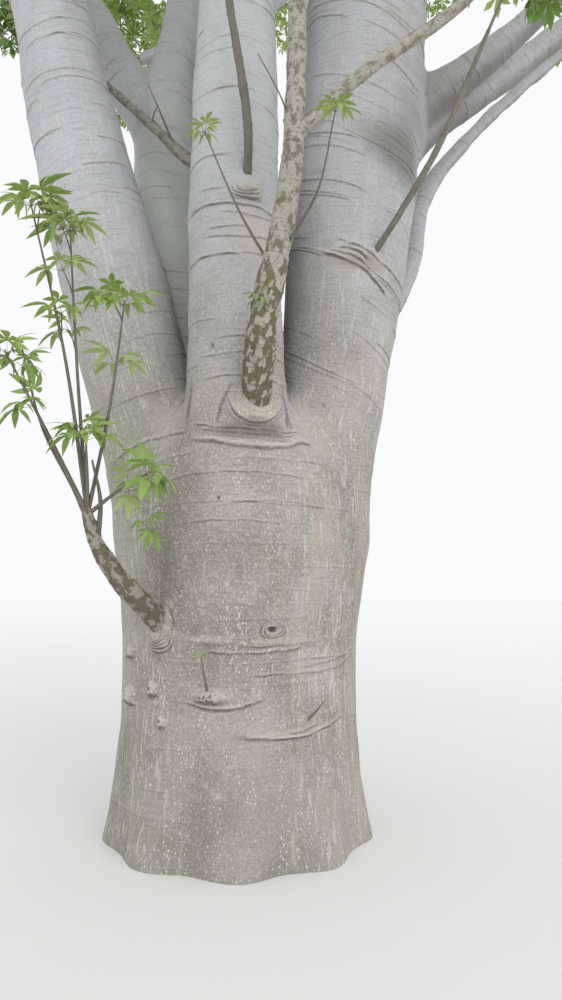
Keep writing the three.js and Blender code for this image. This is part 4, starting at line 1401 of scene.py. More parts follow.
def leaf_targets(mass, stem):
    random = seeded(mass["seed"])
    turn = 2 * math.pi * random()
    targets = []
    for i in range(mass["leaves"]):
        up = lerp(1, LOWEST_TARGET, (i + 0.1 + 0.8 * random()) / mass["leaves"])
        flat = math.sqrt(1 - up * up)
        angle = turn + i * GOLDEN_TURN + TURN_SHAKE * (random() - 0.5)
        reach = mass["radius"] * (TARGET_SHARE + TARGET_SHAKE * (random() - 0.5))
        way = np.array([flat * math.cos(angle), flat * math.sin(angle), SPACE_HEIGHT * up])
        to = mass["centre"] + reach * way
        targets.append((spring_point(stem, to)[0], to, 2 * math.pi * random()))
    return sorted(targets, key=lambda target: target[0])


def leaf_edge(start, to, heading, length):
    """The outline and the top of the source's leaf at the end of its twig."""
    direction = unit(to - start)
    normal = unit(direction + [0, 0, LEAF_UPTURN])
    side = unit(np.cross(direction, normal))
    over = np.cross(normal, side)
    edge = []
    for leaflet in range(LEAFLETS):
        for degrees, share in LEAFLET_OUTLINE:
            angle = heading + math.radians(degrees + 360 / LEAFLETS * leaflet)
            flat = side * math.cos(angle) + over * math.sin(angle)
            edge.append(to + share * length * flat - LEAF_DROOP * share * share * length * normal)
    return np.array(edge), to + LEAF_HALF_THICKNESS * length * normal


def fitting_twig(name, wood, to, heading):
    """The twig that bears a leaf at its end, or None where the leaf doesn't fit."""
    mass = MASSES[name]
    length = mass["leaf"]
    _, start, radius = spring_point(wood, to)
    edge, top = leaf_edge(start, to, heading, length)
    leaf_points = np.concatenate([[top], edge, lerp(edge, to, 0.5)])
    twig_points = np.array([lerp(start, to, share) for share in SPRING_SHARES])
    fits = (
        (in_space(leaf_points, name) & clear_of_limbs(leaf_points)).all()
        and clear_of_limbs(twig_points, mass["limb"]).all()
        and all(np.linalg.norm(other["to"] - to) > LEAF_SPACING * length for other in wood[STEM_PARTS:])
    )
    if not fits:
        return None
    thin = TWIG_RADIUS * length
    return {"from": start, "to": to, "thick": max(thin, TWIG_TAPER * radius), "thin": TWIG_END * thin}


def main_twigs(name):
    """A mass's stem, and the twigs that the source's rule grows on it."""
    mass = MASSES[name]
    wood, line, radii = stem_of(mass)
    for _, to, heading in leaf_targets(mass, wood):
        for share in DRAWN_IN:
            twig = fitting_twig(name, wood, lerp(mass["centre"], to, share), heading)
            if twig:
                wood.append(twig)
                break
    return line, radii, wood[STEM_PARTS:]


# Foliage: finer twigs and leaves, where the source has one large leaf
SIDE_TWIGS = 12  # on each main twig of the crown
SHOOT_SIDE_TWIGS = 5
SPRAY_REACH = 0.78  # how far the side twigs reach, as a share of the source's leaflet
SPRAY_FLATNESS = 0.7
SPRAY_HEIGHTS = (0.95, -0.75)  # of the first and the last side twig's direction
SPRAY_SPREAD = (0.7, 1)  # the least and the most of that reach
SPRAY_BACK = 0.55  # how far back along the main twig the first side twigs reach
MAIN_TWIG_POINTS, MAIN_TWIG_SIDES = 5, 5
SIDE_TWIG_POINTS, SIDE_TWIG_SIDES = 4, 4
SIDE_TWIG_THICK = 0.009
SIDE_TWIG_THIN = 0.0035
SIDE_TWIG_ARCH = 0.1  # of its length, upwards
TWIG_MARGIN = 0.012  # a twig's line stays this far inside the solids' box
WHORLS = [1.0, 0.72]  # the shares of a side twig's length at which its leaves stand together
WHORL_LEAVES = 6
PETIOLE = 0.085
PETIOLE_RADIUS = 0.0017
LEAFLET_LENGTH = 0.125
LEAFLET_WIDTH = 0.2  # of its length, from midrib to edge
LEAFLET_FOLD = 0.22
LEAFLET_DROOP = 0.35
LEAFLET_WIDEST = 0.58  # the share of its length at which it is widest
LEAF_SPREAD = 116  # degrees from the petiole's line to the outermost leaflets
LEAF_SHORTENING = 0.22  # of the outermost leaflets
LEAF_LEAN = (0.5, 1.35)  # radians from the twig's direction
LEAF_LIFT = 0.25
LEAF_ROLL = 0.8
LEAF_SIZES = (0.75, 1.1)
ASKEW = [0.1, 0.2, 1.0]  # a direction that hardly any twig has


def twig_line(start, end, arch, count):
    """A twig's line from start to end, that rises between them by arch of its length."""
    shares = np.linspace(0, 1, count)[:, None]
    bow = 4 * shares * (1 - shares) * arch * np.linalg.norm(end - start)
    return lerp(start, end, shares) + bow * [0, 0, 1]


def side_twigs(name, twig, random):
    """The finer twigs of one spray: each springs from the wood by the same rule, and ends within the reach of
    the leaf that the spray stands for."""
    count = SIDE_TWIGS if MASSES[name]["leaf"] == CROWN_LEAF else SHOOT_SIDE_TWIGS
    reach = SPRAY_REACH * MASSES[name]["leaf"]
    turn = 2 * math.pi * random()
    wood, grown = [twig], []
    for i in range(count):
        up = lerp(*SPRAY_HEIGHTS, (i + 0.2 + 0.6 * random()) / count)
        angle = turn + i * GOLDEN_TURN
        flat = math.sqrt(1 - up * up)
        out = np.array([flat * math.cos(angle), flat * math.sin(angle), SPRAY_FLATNESS * up])
        back = SPRAY_BACK * max(0, random() - 0.4)
        to = lerp(twig["to"], twig["from"], back) + reach * lerp(*SPRAY_SPREAD, random()) * out
        _, start, _ = spring_point(wood, to)
        side = {"from": start, "to": to, "thick": SIDE_TWIG_THICK, "thin": SIDE_TWIG_THIN}
        side["line"] = twig_line(start, to, SIDE_TWIG_ARCH, SIDE_TWIG_POINTS)
        free = in_space(to[None], name)[0] and clear_of_limbs(to[None])[0]
        if free and in_box(side["line"], TWIG_MARGIN).all():
            grown.append(side)
            wood.append(side)
    return grown


def axes_of(way):
    """A direction and two more, square to it."""
    side = unit(np.cross(way, ASKEW))
    return way, side, np.cross(way, side)


def leaning(axes, lean, angle):
    """A direction that leans away from the first of these axes, at an angle round it, in radians."""
    way, side, over = axes
    return math.cos(lean) * way + math.sin(lean) * (math.cos(angle) * side + math.sin(angle) * over)


def leaf_feet(twigs, random):
    """The foot and the direction of each leaf on these twigs, which stand in whorls round each twig's end."""
    feet, outs = [], []
    for twig in twigs:
        axes = axes_of(unit(twig["to"] - twig["from"]))
        turn = 2 * math.pi * random()
        for whorl, share in enumerate(WHORLS):
            for i in range(WHORL_LEAVES - 2 * whorl):
                out = leaning(axes, lerp(*LEAF_LEAN, random()), turn + i * GOLDEN_TURN + whorl)
                feet.append(lerp(twig["from"], twig["to"], share))
                outs.append(unit(out + [0, 0, LEAF_LIFT]))
    return np.array(feet), np.array(outs)


def leaflet_frame(leaflet, spread, shortening):
    """The length of one leaflet, the way that it points and the way across it. The outer ones are shorter."""
    angle = math.radians(spread * (2 * leaflet / (LEAFLETS - 1) - 1))
    length = LEAFLET_LENGTH * (1 - shortening * abs(leaflet - 2) / 2)
    cosine, sine = math.cos(angle), math.sin(angle)
    return length, np.array([cosine, sine, 0]), np.array([-sine, cosine, 0])


def leaf_template():
    """One digitate leaf in its own frame: x along the petiole, z up, as points and triangles."""
    points, faces = [(0, 0, 0)], []
    for leaflet in range(LEAFLETS):
        length, way, aside = leaflet_frame(leaflet, LEAF_SPREAD, LEAF_SHORTENING)
        first = len(points)
        for share, width in ((LEAFLET_WIDEST, 1), (LEAFLET_WIDEST, 0), (LEAFLET_WIDEST, -1), (1, 0)):
            rise = LEAFLET_FOLD * LEAFLET_WIDTH * abs(width) - LEAFLET_DROOP * share**2
            points.append(length * (share * way + LEAFLET_WIDTH * width * aside + np.array([0, 0, rise])))
        left, middle, right, tip = range(first, first + 4)
        faces += [(0, middle, left), (0, right, middle), (middle, tip, left), (middle, right, tip)]
    return np.array(points, float), np.array(faces)


def set_copies(template, origins, axes, scales):
    """Copies of a template's points, each turned to its own axes (three rows), scaled and put in place."""
    return np.einsum("pi,nij->npj", template, axes) * scales[:, None, None] + origins[:, None]


def leaf_axes(outs, rolls):
    """For each leaf its own x (outwards), y and z (up) as rows."""
    level = unit(np.cross([0, 0, 1.0], outs) + 1e-6)
    up = np.cross(outs, level)
    y = level * np.cos(rolls)[:, None] + up * np.sin(rolls)[:, None]
    return np.stack([outs, y, np.cross(outs, y)], 1)


# Materials
def srgb(red, green, blue):
    """A colour given as a picture gives it, 0 to 255, as Blender takes it."""
    shares = [value / 255 for value in (red, green, blue)]
    return tuple(share / 12.92 if share < 0.04045 else ((share + 0.055) / 1.055) ** 2.4 for share in shares)


def connect(tree, socket, value):
    """Gives a socket another node's output, or a plain value."""
    if isinstance(value, bpy.types.NodeSocket):
        tree.links.new(value, socket)
    else:
        socket.default_value = (*value, 1) if socket.type == "RGBA" else value


def add_node(tree, kind, inputs=(), **settings):
    """A node with its settings, and its inputs by name or number."""
    node = tree.nodes.new(kind)
    for key, value in settings.items():
        setattr(node, key, value)
    for key, value in dict(inputs).items():
        connect(tree, node.inputs[key], value)
    return node


def attribute(tree, name, output="Fac"):
    return add_node(tree, "ShaderNodeAttribute", attribute_name=name).outputs[output]


def stretched(tree, place, across, up):
    """A place multiplied by so much across and so much upwards."""
    factors = (across, across, up)
    return add_node(tree, "ShaderNodeVectorMath", {0: place, 1: factors}, operation="MULTIPLY").outputs[0]


def cloud(tree, place, scale=1.0, detail=3.0):
    inputs = {"Vector": place, "Scale": scale, "Detail": detail, "Roughness": 0.5}
    return add_node(tree, "ShaderNodeTexNoise", inputs).outputs["Fac"]


def ramp(tree, value, low, high, to_low=0.0, to_high=1.0):
    """A value between low and high, turned smoothly to the range from to_low to to_high."""
    inputs = {"Value": value, "From Min": low, "From Max": high, "To Min": to_low, "To Max": to_high}
    return add_node(tree, "ShaderNodeMapRange", inputs, interpolation_type="SMOOTHSTEP").outputs["Result"]


def blend(tree, share, one, other):
    """Two colours mixed by a share."""
    return add_node(tree, "ShaderNodeMix", {0: share, 6: one, 7: other}, data_type="RGBA").outputs[2]


def layered(tree, colour, *layers):
    """A colour with others laid over it in turn, each as its share and its colour."""
    for share, other in layers:
        colour = blend(tree, share, colour, other)
    return colour


def sums(tree, way, *values):
    """Values added, multiplied and so on, one after another."""
    total = values[0]
    for value in values[1:]:
        total = add_node(tree, "ShaderNodeMath", {0: total, 1: value}, operation=way).outputs[0]
    return total


def product(tree, *values):
    return sums(tree, "MULTIPLY", *values)


def new_material(name, roughness, specular=0.3):
    material = bpy.data.materials.new(name)
    material.use_nodes = True
    tree = material.node_tree
    shader = tree.nodes["Principled BSDF"]
    shader.inputs["Roughness"].default_value = roughness
    shader.inputs["Specular IOR Level"].default_value = specular
    return material, tree, shader


def plain_material(name, colour, roughness):
    material, _, shader = new_material(name, roughness, 0.5)
    shader.inputs["Base Color"].default_value = (*colour, 1)
    return material


def bumped(tree, shader, height, distance):
    bump = add_node(tree, "ShaderNodeBump", {"Height": height, "Distance": distance, "Strength": 1.0})
    tree.links.new(bump.outputs["Normal"], shader.inputs["Normal"])


BARK_GREY = srgb(169, 165, 161)
BARK_DARK = srgb(133, 130, 121)
BARK_LIGHT = srgb(202, 200, 193)
BARK_BLUE = srgb(195, 198, 206)
BARK_PINK = srgb(180, 164, 149)
BARK_GREEN = srgb(150, 152, 134)
PAINTED_SHADE_COLOUR = srgb(86, 81, 70)
COLLAR_COLOUR = srgb(200, 188, 170)
LENTICEL_COLOUR = srgb(230, 227, 216)
PATCH_AND_PAINTED_LIGHT_COLOUR = srgb(210, 213, 206)


def dash_cells(tree, place, across, up, size):
    """Upright dashes, one in each cell of a scatter, as large as size."""
    inputs = {"Vector": stretched(tree, place, across, up), "Scale": 1.0}
    away = add_node(tree, "ShaderNodeTexVoronoi", inputs).outputs["Distance"]
    return ramp(tree, sums(tree, "SUBTRACT", size, away), -0.03, 0.06)


def lenticels(tree, place, right):
    """Short upright whitish dashes in broken rows, with finer ones between and long ones at the sides."""
    rows = cloud(tree, stretched(tree, place, 13, 1.6), detail=1.0)
    chains = cloud(tree, stretched(tree, place, 62, 5), detail=2.0)
    large = dash_cells(tree, place, 58, 27, ramp(tree, rows, 0.34, 0.66, 0.13, 0.25))
    small = dash_cells(tree, place, 115, 62, ramp(tree, rows, 0.3, 0.6, 0.14, 0.27))
    aside = ramp(tree, product(tree, right, right), 0.0, 0.2, 0.0, 0.42)
    chained = product(tree, ramp(tree, chains, 0.56, 0.64), aside)
    return sums(tree, "MAXIMUM", large, product(tree, small, 0.6), chained)


def bark_ground(tree, patches, streaks, grain, fine, right, height):
    """The bark's colour without its marks: dark and light patches, bluer upwards, darker towards the bottom,
    warm at the right and greenish at the low left."""
    gritty = ramp(tree, height, 2.4, 3.8, 0.7, 0.35)
    warm = product(tree, ramp(tree, streaks, 0.4, 0.64), ramp(tree, right, -0.1, 0.6, 0.12, 0.55),
                   ramp(tree, height, 1.7, 3.6, 1.0, 0.3))
    green = product(tree, ramp(tree, right, -0.25, -0.6), ramp(tree, patches, 0.4, 0.6, 0.2, 0.5),
                    ramp(tree, height, 3.0, 2.2))
    return layered(
        tree, blend(tree, ramp(tree, patches, 0.36, 0.64), BARK_DARK, BARK_GREY),
        (ramp(tree, height, 2.0, 4.0, 0.0, 0.8), BARK_BLUE),
        (ramp(tree, grain, 0.45, 0.75, 0.0, 0.55), BARK_LIGHT),
        (product(tree, ramp(tree, fine, 0.54, 0.68), gritty), BARK_LIGHT),
        (product(tree, ramp(tree, fine, 0.46, 0.32), gritty), BARK_DARK),
        (ramp(tree, height, 1.0, 0.3, 0.0, 0.35), BARK_DARK),
        (warm, BARK_PINK),
        (green, BARK_GREEN),
    )


def bark_material():
    material, tree, shader = new_material("bark", 0.82)
    place = attribute(tree, "bark_place", "Vector")
    coordinates = add_node(tree, "ShaderNodeTexCoord").outputs
    right, _, height = add_node(tree, "ShaderNodeSeparateXYZ", {0: coordinates["Object"]}).outputs
    facing_up = add_node(tree, "ShaderNodeSeparateXYZ", {0: coordinates["Normal"]}).outputs[2]
    patches = cloud(tree, place, 2.3, 4.0)
    streaks = cloud(tree, stretched(tree, place, 11, 0.7))
    ripples = cloud(tree, stretched(tree, place, 7, 95), detail=2.0)
    grain = cloud(tree, stretched(tree, place, 60, 45))
    fine = cloud(tree, stretched(tree, place, 170, 110), detail=2.0)
    dashes = lenticels(tree, place, right)
    colour = layered(
        tree, bark_ground(tree, patches, streaks, grain, fine, right, height),
        (ramp(tree, ripples, 0.5, 0.68, 0.0, 0.3), BARK_DARK),
        (product(tree, attribute(tree, "tan"), ramp(tree, grain, 0.35, 0.6, 0.5, 0.9)), COLLAR_COLOUR),
        (product(tree, dashes, ramp(tree, height, 2.0, 4.2, 0.78, 0.3)), LENTICEL_COLOUR),
        # Painted highlight on the crests of the bark's lines
        (product(tree, attribute(tree, "crest"), 0.5), BARK_LIGHT),
        # Pale patches of the bark's own colour, with painted light on the shaded rear left bough and painted
        # highlights on the knots
        (product(tree, attribute(tree, "pale"), 0.75), PATCH_AND_PAINTED_LIGHT_COLOUR),
        # Painted light on faces that look up and painted shade on faces that look down
        (ramp(tree, facing_up, 0.15, 0.7, 0.0, 0.4), BARK_LIGHT),
        (ramp(tree, facing_up, -0.15, -0.8, 0.0, 0.6), PAINTED_SHADE_COLOUR),
        # Painted shade in grooves, pits, crotches and under rims
        (product(tree, attribute(tree, "shade"), 0.85), PAINTED_SHADE_COLOUR),
    )
    tree.links.new(colour, shader.inputs["Base Color"])
    roughness = [(dashes, 0.8), (grain, 0.6), (ripples, 0.9), (fine, 0.4)]
    bumped(tree, shader, sums(tree, "ADD", *[product(tree, *part) for part in roughness]), 0.0035)
    return material


SHOOT_PALE = srgb(180, 177, 166)
SHOOT_OLIVE = srgb(108, 101, 78)
SHOOT_GREY = srgb(148, 145, 132)
SHOOT_DUSK = srgb(100, 97, 88)
SHOOT_SPECK = srgb(84, 78, 62)


def shoot_material():
    """Pale bark with olive and dark patches of sharp outline, and rings."""
    material, tree, shader = new_material("shoot_bark", 0.85)
    place = attribute(tree, "bark_place", "Vector")
    mottle, dusk = attribute(tree, "mottle"), attribute(tree, "dusk")
    patches = cloud(tree, stretched(tree, place, 30, 19))
    specks = cloud(tree, stretched(tree, place, 75, 60), detail=2.0)
    rings = cloud(tree, stretched(tree, place, 3, 70), detail=2.0)
    fine = cloud(tree, stretched(tree, place, 160, 160), detail=2.0)
    share = sums(tree, "ADD", patches, product(tree, mottle, 0.17))
    olive = product(tree, ramp(tree, share, 0.58, 0.63), ramp(tree, mottle, 0.1, 0.7, 0.25, 0.95))
    colour = layered(
        tree, blend(tree, ramp(tree, patches, 0.45, 0.62), SHOOT_PALE, SHOOT_GREY),
        (olive, SHOOT_OLIVE),
        (ramp(tree, specks, 0.6, 0.66, 0.0, 0.6), SHOOT_SPECK),
        (ramp(tree, specks, 0.36, 0.3, 0.0, 0.5), SHOOT_PALE),
        (ramp(tree, rings, 0.56, 0.66, 0.0, 0.35), SHOOT_SPECK),
        (product(tree, dusk, 0.85), SHOOT_DUSK),
        (ramp(tree, fine, 0.4, 0.7, 0.0, 0.3), SHOOT_OLIVE),
    )
    tree.links.new(colour, shader.inputs["Base Color"])
    bumped(tree, shader, sums(tree, "ADD", specks, rings, product(tree, fine, 0.5)), 0.003)
    return material


def make_stage():
    scene = bpy.context.scene
    camera = linked("camera", bpy.data.cameras.new("camera"))
    camera.location = CAMERA_PLACE
    camera.rotation_euler = (math.radians(90 + CAMERA_PITCH), 0, 0)
    camera.data.lens = CAMERA_LENS
    scene.camera = camera
    half = FLOOR_SIZE / 2
    corners = [(-half, -half), (half, -half), (half, half), (-half, half)]
    corners = np.array([(x, y, -FLOOR_DROP) for x, y in corners])
    floor = linked("floor", mesh_of("floor", corners, [(0, 1, 2, 3)]))
    floor.data.materials.append(plain_material("floor", FLOOR_COLOUR, 0.9))
    for name, (way, width, strength) in LIGHTS.items():
        lamp = linked(name, bpy.data.lights.new(name, "SUN"))
        lamp.data.angle = math.radians(width)
        lamp.data.energy = strength
        lamp.rotation_euler = Vector(way).to_track_quat("-Z", "Y").to_euler()
    scene.world = bpy.data.worlds.new("sky")
    scene.world.use_nodes = True
    sky = scene.world.node_tree.nodes["Background"].inputs
    sky["Color"].default_value = (*SKY_COLOUR, 1)
    sky["Strength"].default_value = SKY_STRENGTH
    scene.view_settings.view_transform = "Standard"


GROUPS = {
    "left": ["foliage_left", "foliage_left_outer", "foliage_left_front", "foliage_rear_left_outer"],
    "middle": [
        "foliage_centre", "foliage_centre_front", "foliage_rear_left", "foliage_rear_side", "foliage_rear",
    ],
    "right": ["foliage_right", "foliage_right_outer", "foliage_right_front", "foliage_right_rear"],
    "far_right": ["foliage_rear_right", "foliage_limb_upper", "foliage_limb_lower", "foliage_far_right"],
    "shoots": list(SHOOT_MASSES),
}
LEAF_GREENS = [(0.2, 0.33, 0.07), (0.27, 0.42, 0.09), (0.34, 0.49, 0.13), (0.42, 0.55, 0.18)]
SPRIG_GREENS = [(0.24, 0.36, 0.08), (0.3, 0.42, 0.1), (0.36, 0.46, 0.15)]


def placed_leaves(name, batches, template_faces, materials, *nodes):
    """Batches of leaves as one piece. Each batch is its leaves' points and the number of its colour."""
    leaves = np.concatenate([batch for batch, _ in batches])
    offsets = leaves.shape[1] * np.arange(len(leaves))
    faces = (template_faces[None] + offsets[:, None, None]).reshape(-1, 3)
    mesh = mesh_of(name, leaves.reshape(-1, 3), faces)
    placed(name, mesh, "leaf", materials, *nodes)
    counts = [len(batch) * len(template_faces) for batch, _ in batches]
    tones = np.repeat([tone for _, tone in batches], counts)
    mesh.polygons.foreach_set("material_index", tones.astype(np.int32))


def spray_leaves(name, grown, template, random):
    """The leaves of one spray that keep to their mass's space, and the number of their colour."""
    feet, outs = leaf_feet(grown, random)
    rolls = np.array([LEAF_ROLL * (random() - 0.5) for _ in feet])
    sizes = np.array([lerp(*LEAF_SIZES, random()) for _ in feet])
    leaves = set_copies(template, feet + outs * (PETIOLE * sizes)[:, None], leaf_axes(outs, rolls), sizes)
    flat = leaves.reshape(-1, 3)
    kept = (in_space(flat, name) & clear_of_limbs(flat) & in_box(flat)).reshape(len(feet), -1).all(1)
    return leaves[kept], int(random() * len(LEAF_GREENS))


def twig_wood(twig, line, sides):
    return tube(line, np.linspace(twig["thick"], twig["thin"], len(line)), sides)


def foliage_group(group, names):
    """The wood and the leaves of several masses, as two joined pieces."""
    random = seeded(len(group) * 97 + len(names))
    wood, batches = [], []
    template, template_faces = leaf_template()
    for name in names:
        line, radii, twigs = main_twigs(name)
        wood.append(tube(line, radii, STEM_SIDES))
        for twig in twigs:
            grown = side_twigs(name, twig, random)
            straight = twig_line(twig["from"], twig["to"], 0, MAIN_TWIG_POINTS)
            wood.append(twig_wood(twig, straight, MAIN_TWIG_SIDES))
            wood += [twig_wood(side, side["line"], SIDE_TWIG_SIDES) for side in grown]
            if grown:
                batches.append(spray_leaves(name, grown, template, random))
    placed(f"{group}_twigs", mesh_of(f"{group}_twigs", *joined(wood)), "leaf", [TWIG_BARK], *names)
    placed_leaves(f"{group}_leaves", batches, template_faces, LEAF_MATERIALS, *names)


# Shoots
SHOOT_SIDES = 26
SHOOT_STEP = 0.011
# How thick each shoot may be at its foot, how mottled it is there and at its end, and how dark it is all over
SHOOT_LOOKS = {
    "centre_shoot": (0.08, 1.1, 0.3, 0.12),
    "centre_shoot_fork": (0.036, 0.2, 0.1, 0.1),
    "upper_shoot": (0.024, 0.1, 0.0, 0.95),
    "crotch_shoot": (0.042, 0.3, 0.1, 0.4),
    "right_shoot": (0.018, 0.1, 0.0, 0.85),
    "low_left_branch": (0.056, 0.75, 0.55, 0.42),
}
MOTTLE_FADE = 1.1
# The low branch's bend up into its sprigs
LOW_BRANCH_STEM = [
    (-0.662, -0.938, 1.665), (-0.676, -0.96, 1.72), (-0.69, -0.98, 1.79), (-0.695, -0.99, 1.83),
]
LOW_BRANCH_RADII = [0.035, 0.031, 0.028, 0.02]
NODE_SPACING = (0.045, 0.13)
NODE_WIDTH = 0.007
NODE_SWELL = (0.02, 0.09)  # of the shoot's radius
NODE_LINE = (0.013, 0.006)  # how far under a scar its line is, and how wide
LUMPS = 0.0315  # of a shoot's radius
LUMP_STRENGTHS = (1, 0.8, 0.7, 0.5, 0.4)
LUMP_RATES = (9, 45)  # per metre
BARE_TWIG_STEP = 0.02
BARE_TWIG_SAMPLES = 16
BARE_TWIG_SIDES = 8
BARE_TWIG_MOTTLE = 0.2


def resampled(line, radii, step):
    """A line and its radii again, in even steps."""
    along = way_along(line)
    even = np.linspace(0, along[-1], max(4, round(along[-1] / step)))
    places = np.stack([np.interp(even, along, column) for column in line.T], 1)
    return places, np.interp(even, along, radii), even


def node_rises(along, random):
    """How far a shoot swells at the scars that ring it, and a line under each."""
    rises, at = np.zeros(len(along)), 0.05
    while at < along[-1]:
        strength = lerp(*NODE_SWELL, random())
        line = bell((along - at + NODE_LINE[0]) / NODE_LINE[1])
        rises += strength * bell((along - at) / NODE_WIDTH) - 0.5 * strength * line
        at += lerp(*NODE_SPACING, random())
    return rises


def shoot_part(name):
    """One shoot as points and faces, with its straightened places, its mottling and its darkness."""
    thickest, mottle_foot, mottle_end, dusk = SHOOT_LOOKS[name]
    limb = LIMBS[name]
    line, radii = limb["line"], np.minimum(limb["radii"], thickest)
    if name == "low_left_branch":
        line = np.concatenate([line[:-4], LOW_BRANCH_STEM])
        radii = np.concatenate([radii[:-4], LOW_BRANCH_RADII])
    line, radii, along = resampled(line, radii, SHOOT_STEP)
    random = seeded(len(name) * 7 + 3)
    points, faces = tube(line, radii, SHOOT_SIDES)
    centres = np.concatenate([np.repeat(line, SHOOT_SIDES, 0), line[:1], line[-1:]])
    ring = np.concatenate([np.repeat(np.arange(len(line)), SHOOT_SIDES), [0, len(line) - 1]])
    turns = np.concatenate([np.tile(2 * np.pi * np.arange(SHOOT_SIDES) / SHOOT_SIDES, len(line)), [0, 0]])
    lumps = np.zeros(len(points))
    for strength in LUMP_STRENGTHS:
        twist, rate = int(1 + 4 * random()), lerp(*LUMP_RATES, random())
        lumps += strength * np.sin(twist * turns + rate * along[ring] + ANY_PHASE * random())
    swell = 1 + LUMPS * lumps + node_rises(along, random)[ring]
    radius = radii[ring]
    place = np.stack([radius * np.cos(turns), radius * np.sin(turns), along[ring] + 3 * len(name)], 1)
    mottle = lerp(mottle_foot, mottle_end, np.clip(along[ring] / MOTTLE_FADE, 0, 1))
    return centres + (points - centres) * swell[:, None], faces, place, mottle, np.full(len(points), dusk)


def bare_twig(points, radius, end=0.3):
    """A thin twig through points, that narrows to end as a share of its first radius."""
    course = [np.array(point, float) for point in points]
    shares = np.linspace(0, 1, BARE_TWIG_SAMPLES)
    line = np.array([curve_point(course, share) for share in shares])
    line, radii, _ = resampled(line, np.linspace(radius, end * radius, BARE_TWIG_SAMPLES), BARE_TWIG_STEP)
    points, faces = tube(line, radii, BARE_TWIG_SIDES)
    return points, faces, points, np.full(len(points), BARE_TWIG_MOTTLE), np.ones(len(points))


def shoot_wood(parts, name):
    """Shoots and twigs, each as points, faces and its points' attributes, as one mesh."""
    mesh = mesh_of(name, *joined([part[:2] for part in parts]))
    for column, attribute_name in enumerate(("bark_place", "mottle", "dusk"), 2):
        set_attribute(mesh, attribute_name, np.concatenate([part[column] for part in parts]))
    return mesh


# Sprigs: thin leafy twigs near the ground and on the long shoot
SPRIG_SIDE = 0.0045
TUFT_LEAVES = 6
TUFT_LEAN = (0.7, 1.5)
NEAR_DROOP = 0.75
NEAR_WIDTH = 0.17
NEAR_SPREAD = 105
NEAR_SHORTENING = 0.3
TUFT_LIFT = 0.15
TUFT_ROLL = 0.6
SIDE_TUFTS = (0.55, 0.75, 0.9)  # the shares of a sprig's twig at which a side twig may bear a tuft
SIDE_TUFT_LEAVES = 4
SHORT_TIP = 0.6  # a twig shorter than this has no side twigs
# A near leaflet's outline, as shares of its length and of its half width
NEAR_LEAFLET = [(0.0, 0.05), (0.2, 0.5), (0.45, 1.0), (0.7, 0.82), (0.88, 0.4), (1.0, 0.0)]


def near_leaf_template():
    """One digitate leaf for places near the camera, finer than leaf_template's."""
    points, faces = [], []
    for leaflet in range(LEAFLETS):
        length, way, aside = leaflet_frame(leaflet, NEAR_SPREAD, NEAR_SHORTENING)
        first = len(points)
        for share, width in NEAR_LEAFLET:
            droop = np.array([0, 0, -NEAR_DROOP * share**2])
            half = NEAR_WIDTH * width * aside
            fold = np.array([0, 0, LEAFLET_FOLD * NEAR_WIDTH * width])
            points += [length * (share * way + half + fold + droop), length * (share * way + droop),
                       length * (share * way - half + fold + droop)]
        for row in range(len(NEAR_LEAFLET) - 1):
            low, high = first + 3 * row, first + 3 * row + 3
            faces += [(low, low + 1, high + 1), (low, high + 1, high), (low + 1, low + 2, high + 2),
                      (low + 1, high + 2, high + 1)]
    return np.array(points), np.array(faces)


def tuft(place, way, leaves, size, random):
    """The places, directions, axes and sizes of the leaves of one tuft at a twig's end."""
    axes = axes_of(unit(np.array(way, float)))
    turn, outs = 2 * math.pi * random(), []
    for i in range(leaves):
        outs.append(leaning(axes, lerp(*TUFT_LEAN, (i + random()) / leaves), turn + i * GOLDEN_TURN))
    outs = unit(np.array(outs) + [0, 0, TUFT_LIFT])
    sizes = size * np.array([lerp(*LEAF_SIZES, random()) for _ in outs])
    rolls = np.array([TUFT_ROLL * (random() - 0.5) for _ in outs])
    return np.tile(np.array(place, float), (len(outs), 1)), outs, leaf_axes(outs, rolls), sizes


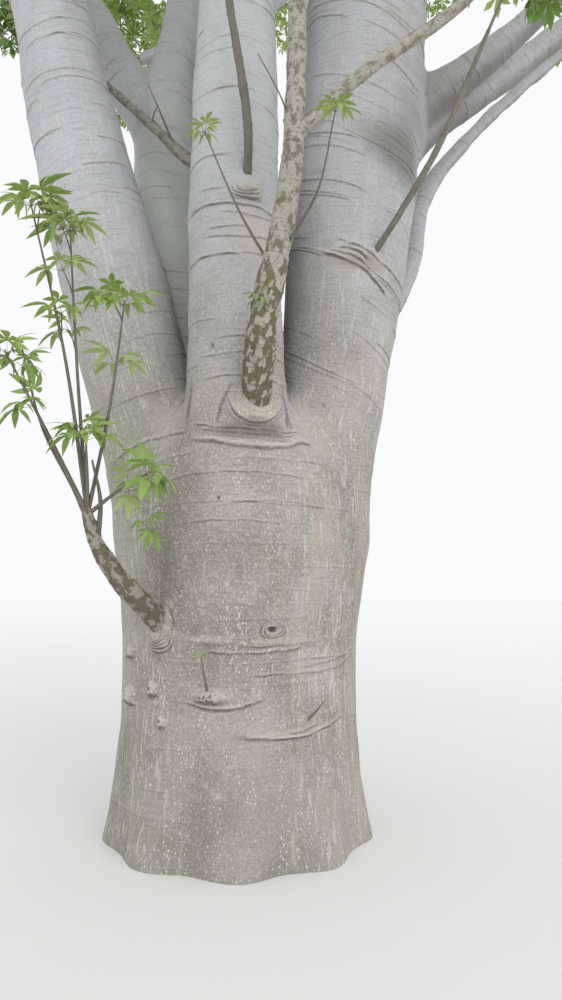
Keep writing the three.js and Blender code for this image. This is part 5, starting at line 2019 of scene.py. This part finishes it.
def sprig_twigs(sprig, random):
    """A sprig's twigs as lines with their first radii, and where its tufts of leaves are."""
    start, stem = np.array(sprig["start"]), np.array(sprig["stem"])
    lines, tufts = [([start, lerp(start, stem, 0.5) + 0.01, stem], sprig["thick"], 0.7)], []
    if len(sprig["tips"]) == 1:
        tip = np.array(sprig["tips"][0])
        return [([start, stem, tip], sprig["thick"], 0.3)], [(tip, tip - stem, TUFT_LEAVES, sprig["size"])]
    for tip in sprig["tips"]:
        tip, thick = np.array(tip), lerp(0.25, 0.42, random()) * sprig["thick"] + 0.0015
        bend = 0.05 * np.linalg.norm(tip - stem) * np.array([random() - 0.5, random() - 0.5, random()])
        middle = lerp(stem, tip, 0.5) + bend
        lines.append(([stem, middle, tip], thick, 0.3))
        tufts.append((tip - 0.03 * unit(tip - stem), tip - middle, TUFT_LEAVES, sprig["size"]))
        for share in SIDE_TUFTS:
            if np.linalg.norm(tip - stem) < SHORT_TIP or random() < 0.35:
                continue
            foot = curve_point([stem, middle, tip], share)
            end = foot + 0.12 * unit(np.array([random() - 0.5, random() - 0.6, 0.5 + random()]))
            lines.append(([foot, lerp(foot, end, 0.5) + [0, 0, 0.008], end], SPRIG_SIDE, 0.4))
            tufts.append((end, end - foot, SIDE_TUFT_LEAVES, 0.85 * sprig["size"]))
    return lines, tufts


def sprigs():
    """All sprigs and wood tufts as a piece of wood and a piece of leaves."""
    random = seeded(SPRIG_SEED)
    parts, tufts, batches = [], list(WOOD_TUFTS), []
    for sprig in SPRIGS.values():
        lines, own = sprig_twigs(sprig, random)
        parts += [bare_twig(*twig) for twig in lines]
        tufts += own
    template, template_faces = near_leaf_template()
    for place, way, leaves, size in tufts:
        feet, outs, axes, sizes = tuft(place, way, leaves, size, random)
        tips = feet + outs * (PETIOLE * sizes)[:, None]
        stalks = [[foot, lerp(foot, tip, 0.5), tip] for foot, tip in zip(feet, tips)]
        parts += [bare_twig(stalk, PETIOLE_RADIUS) for stalk in stalks]
        batches.append((set_copies(template, tips, axes, sizes), int(random() * len(SPRIG_GREENS))))
    placed("sprig_wood", shoot_wood(parts, "sprig_wood"), "shoot_bark", [SHOOT_BARK], *SPRIGS)
    placed_leaves("sprig_leaves", batches, template_faces, SPRIG_LEAVES, *SPRIGS)


make_stage()
BARK = bark_material()
SHOOT_BARK = shoot_material()
TWIG_BARK = plain_material("twig_bark", (0.25, 0.23, 0.17), 0.8)
SPRIG_LEAVES = [plain_material(f"sprig_leaf_{tone}", colour, 0.5) for tone, colour in enumerate(SPRIG_GREENS)]
LEAF_MATERIALS = [plain_material(f"leaf_{tone}", colour, 0.5) for tone, colour in enumerate(LEAF_GREENS)]
trunk_bark, bough_bark = bark_meshes()
placed("trunk_bark", trunk_bark, "bark", [BARK], "trunk", *MAIN_BOUGHS)
placed("bough_bark", bough_bark, "bark", [BARK], "trunk", *BOUGHS)
placed("crown_limb_bark", crown_limb_mesh(), "bark", [BARK], *BOUGHS)
shoots = [shoot_part(name) for name in SHOOTS] + [bare_twig(*twig) for twig in BARE_TWIGS]
placed("shoots", shoot_wood(shoots, "shoots"), "shoot_bark", [SHOOT_BARK], *SHOOTS)
sprigs()
for group, names in GROUPS.items():
    foliage_group(group, names)
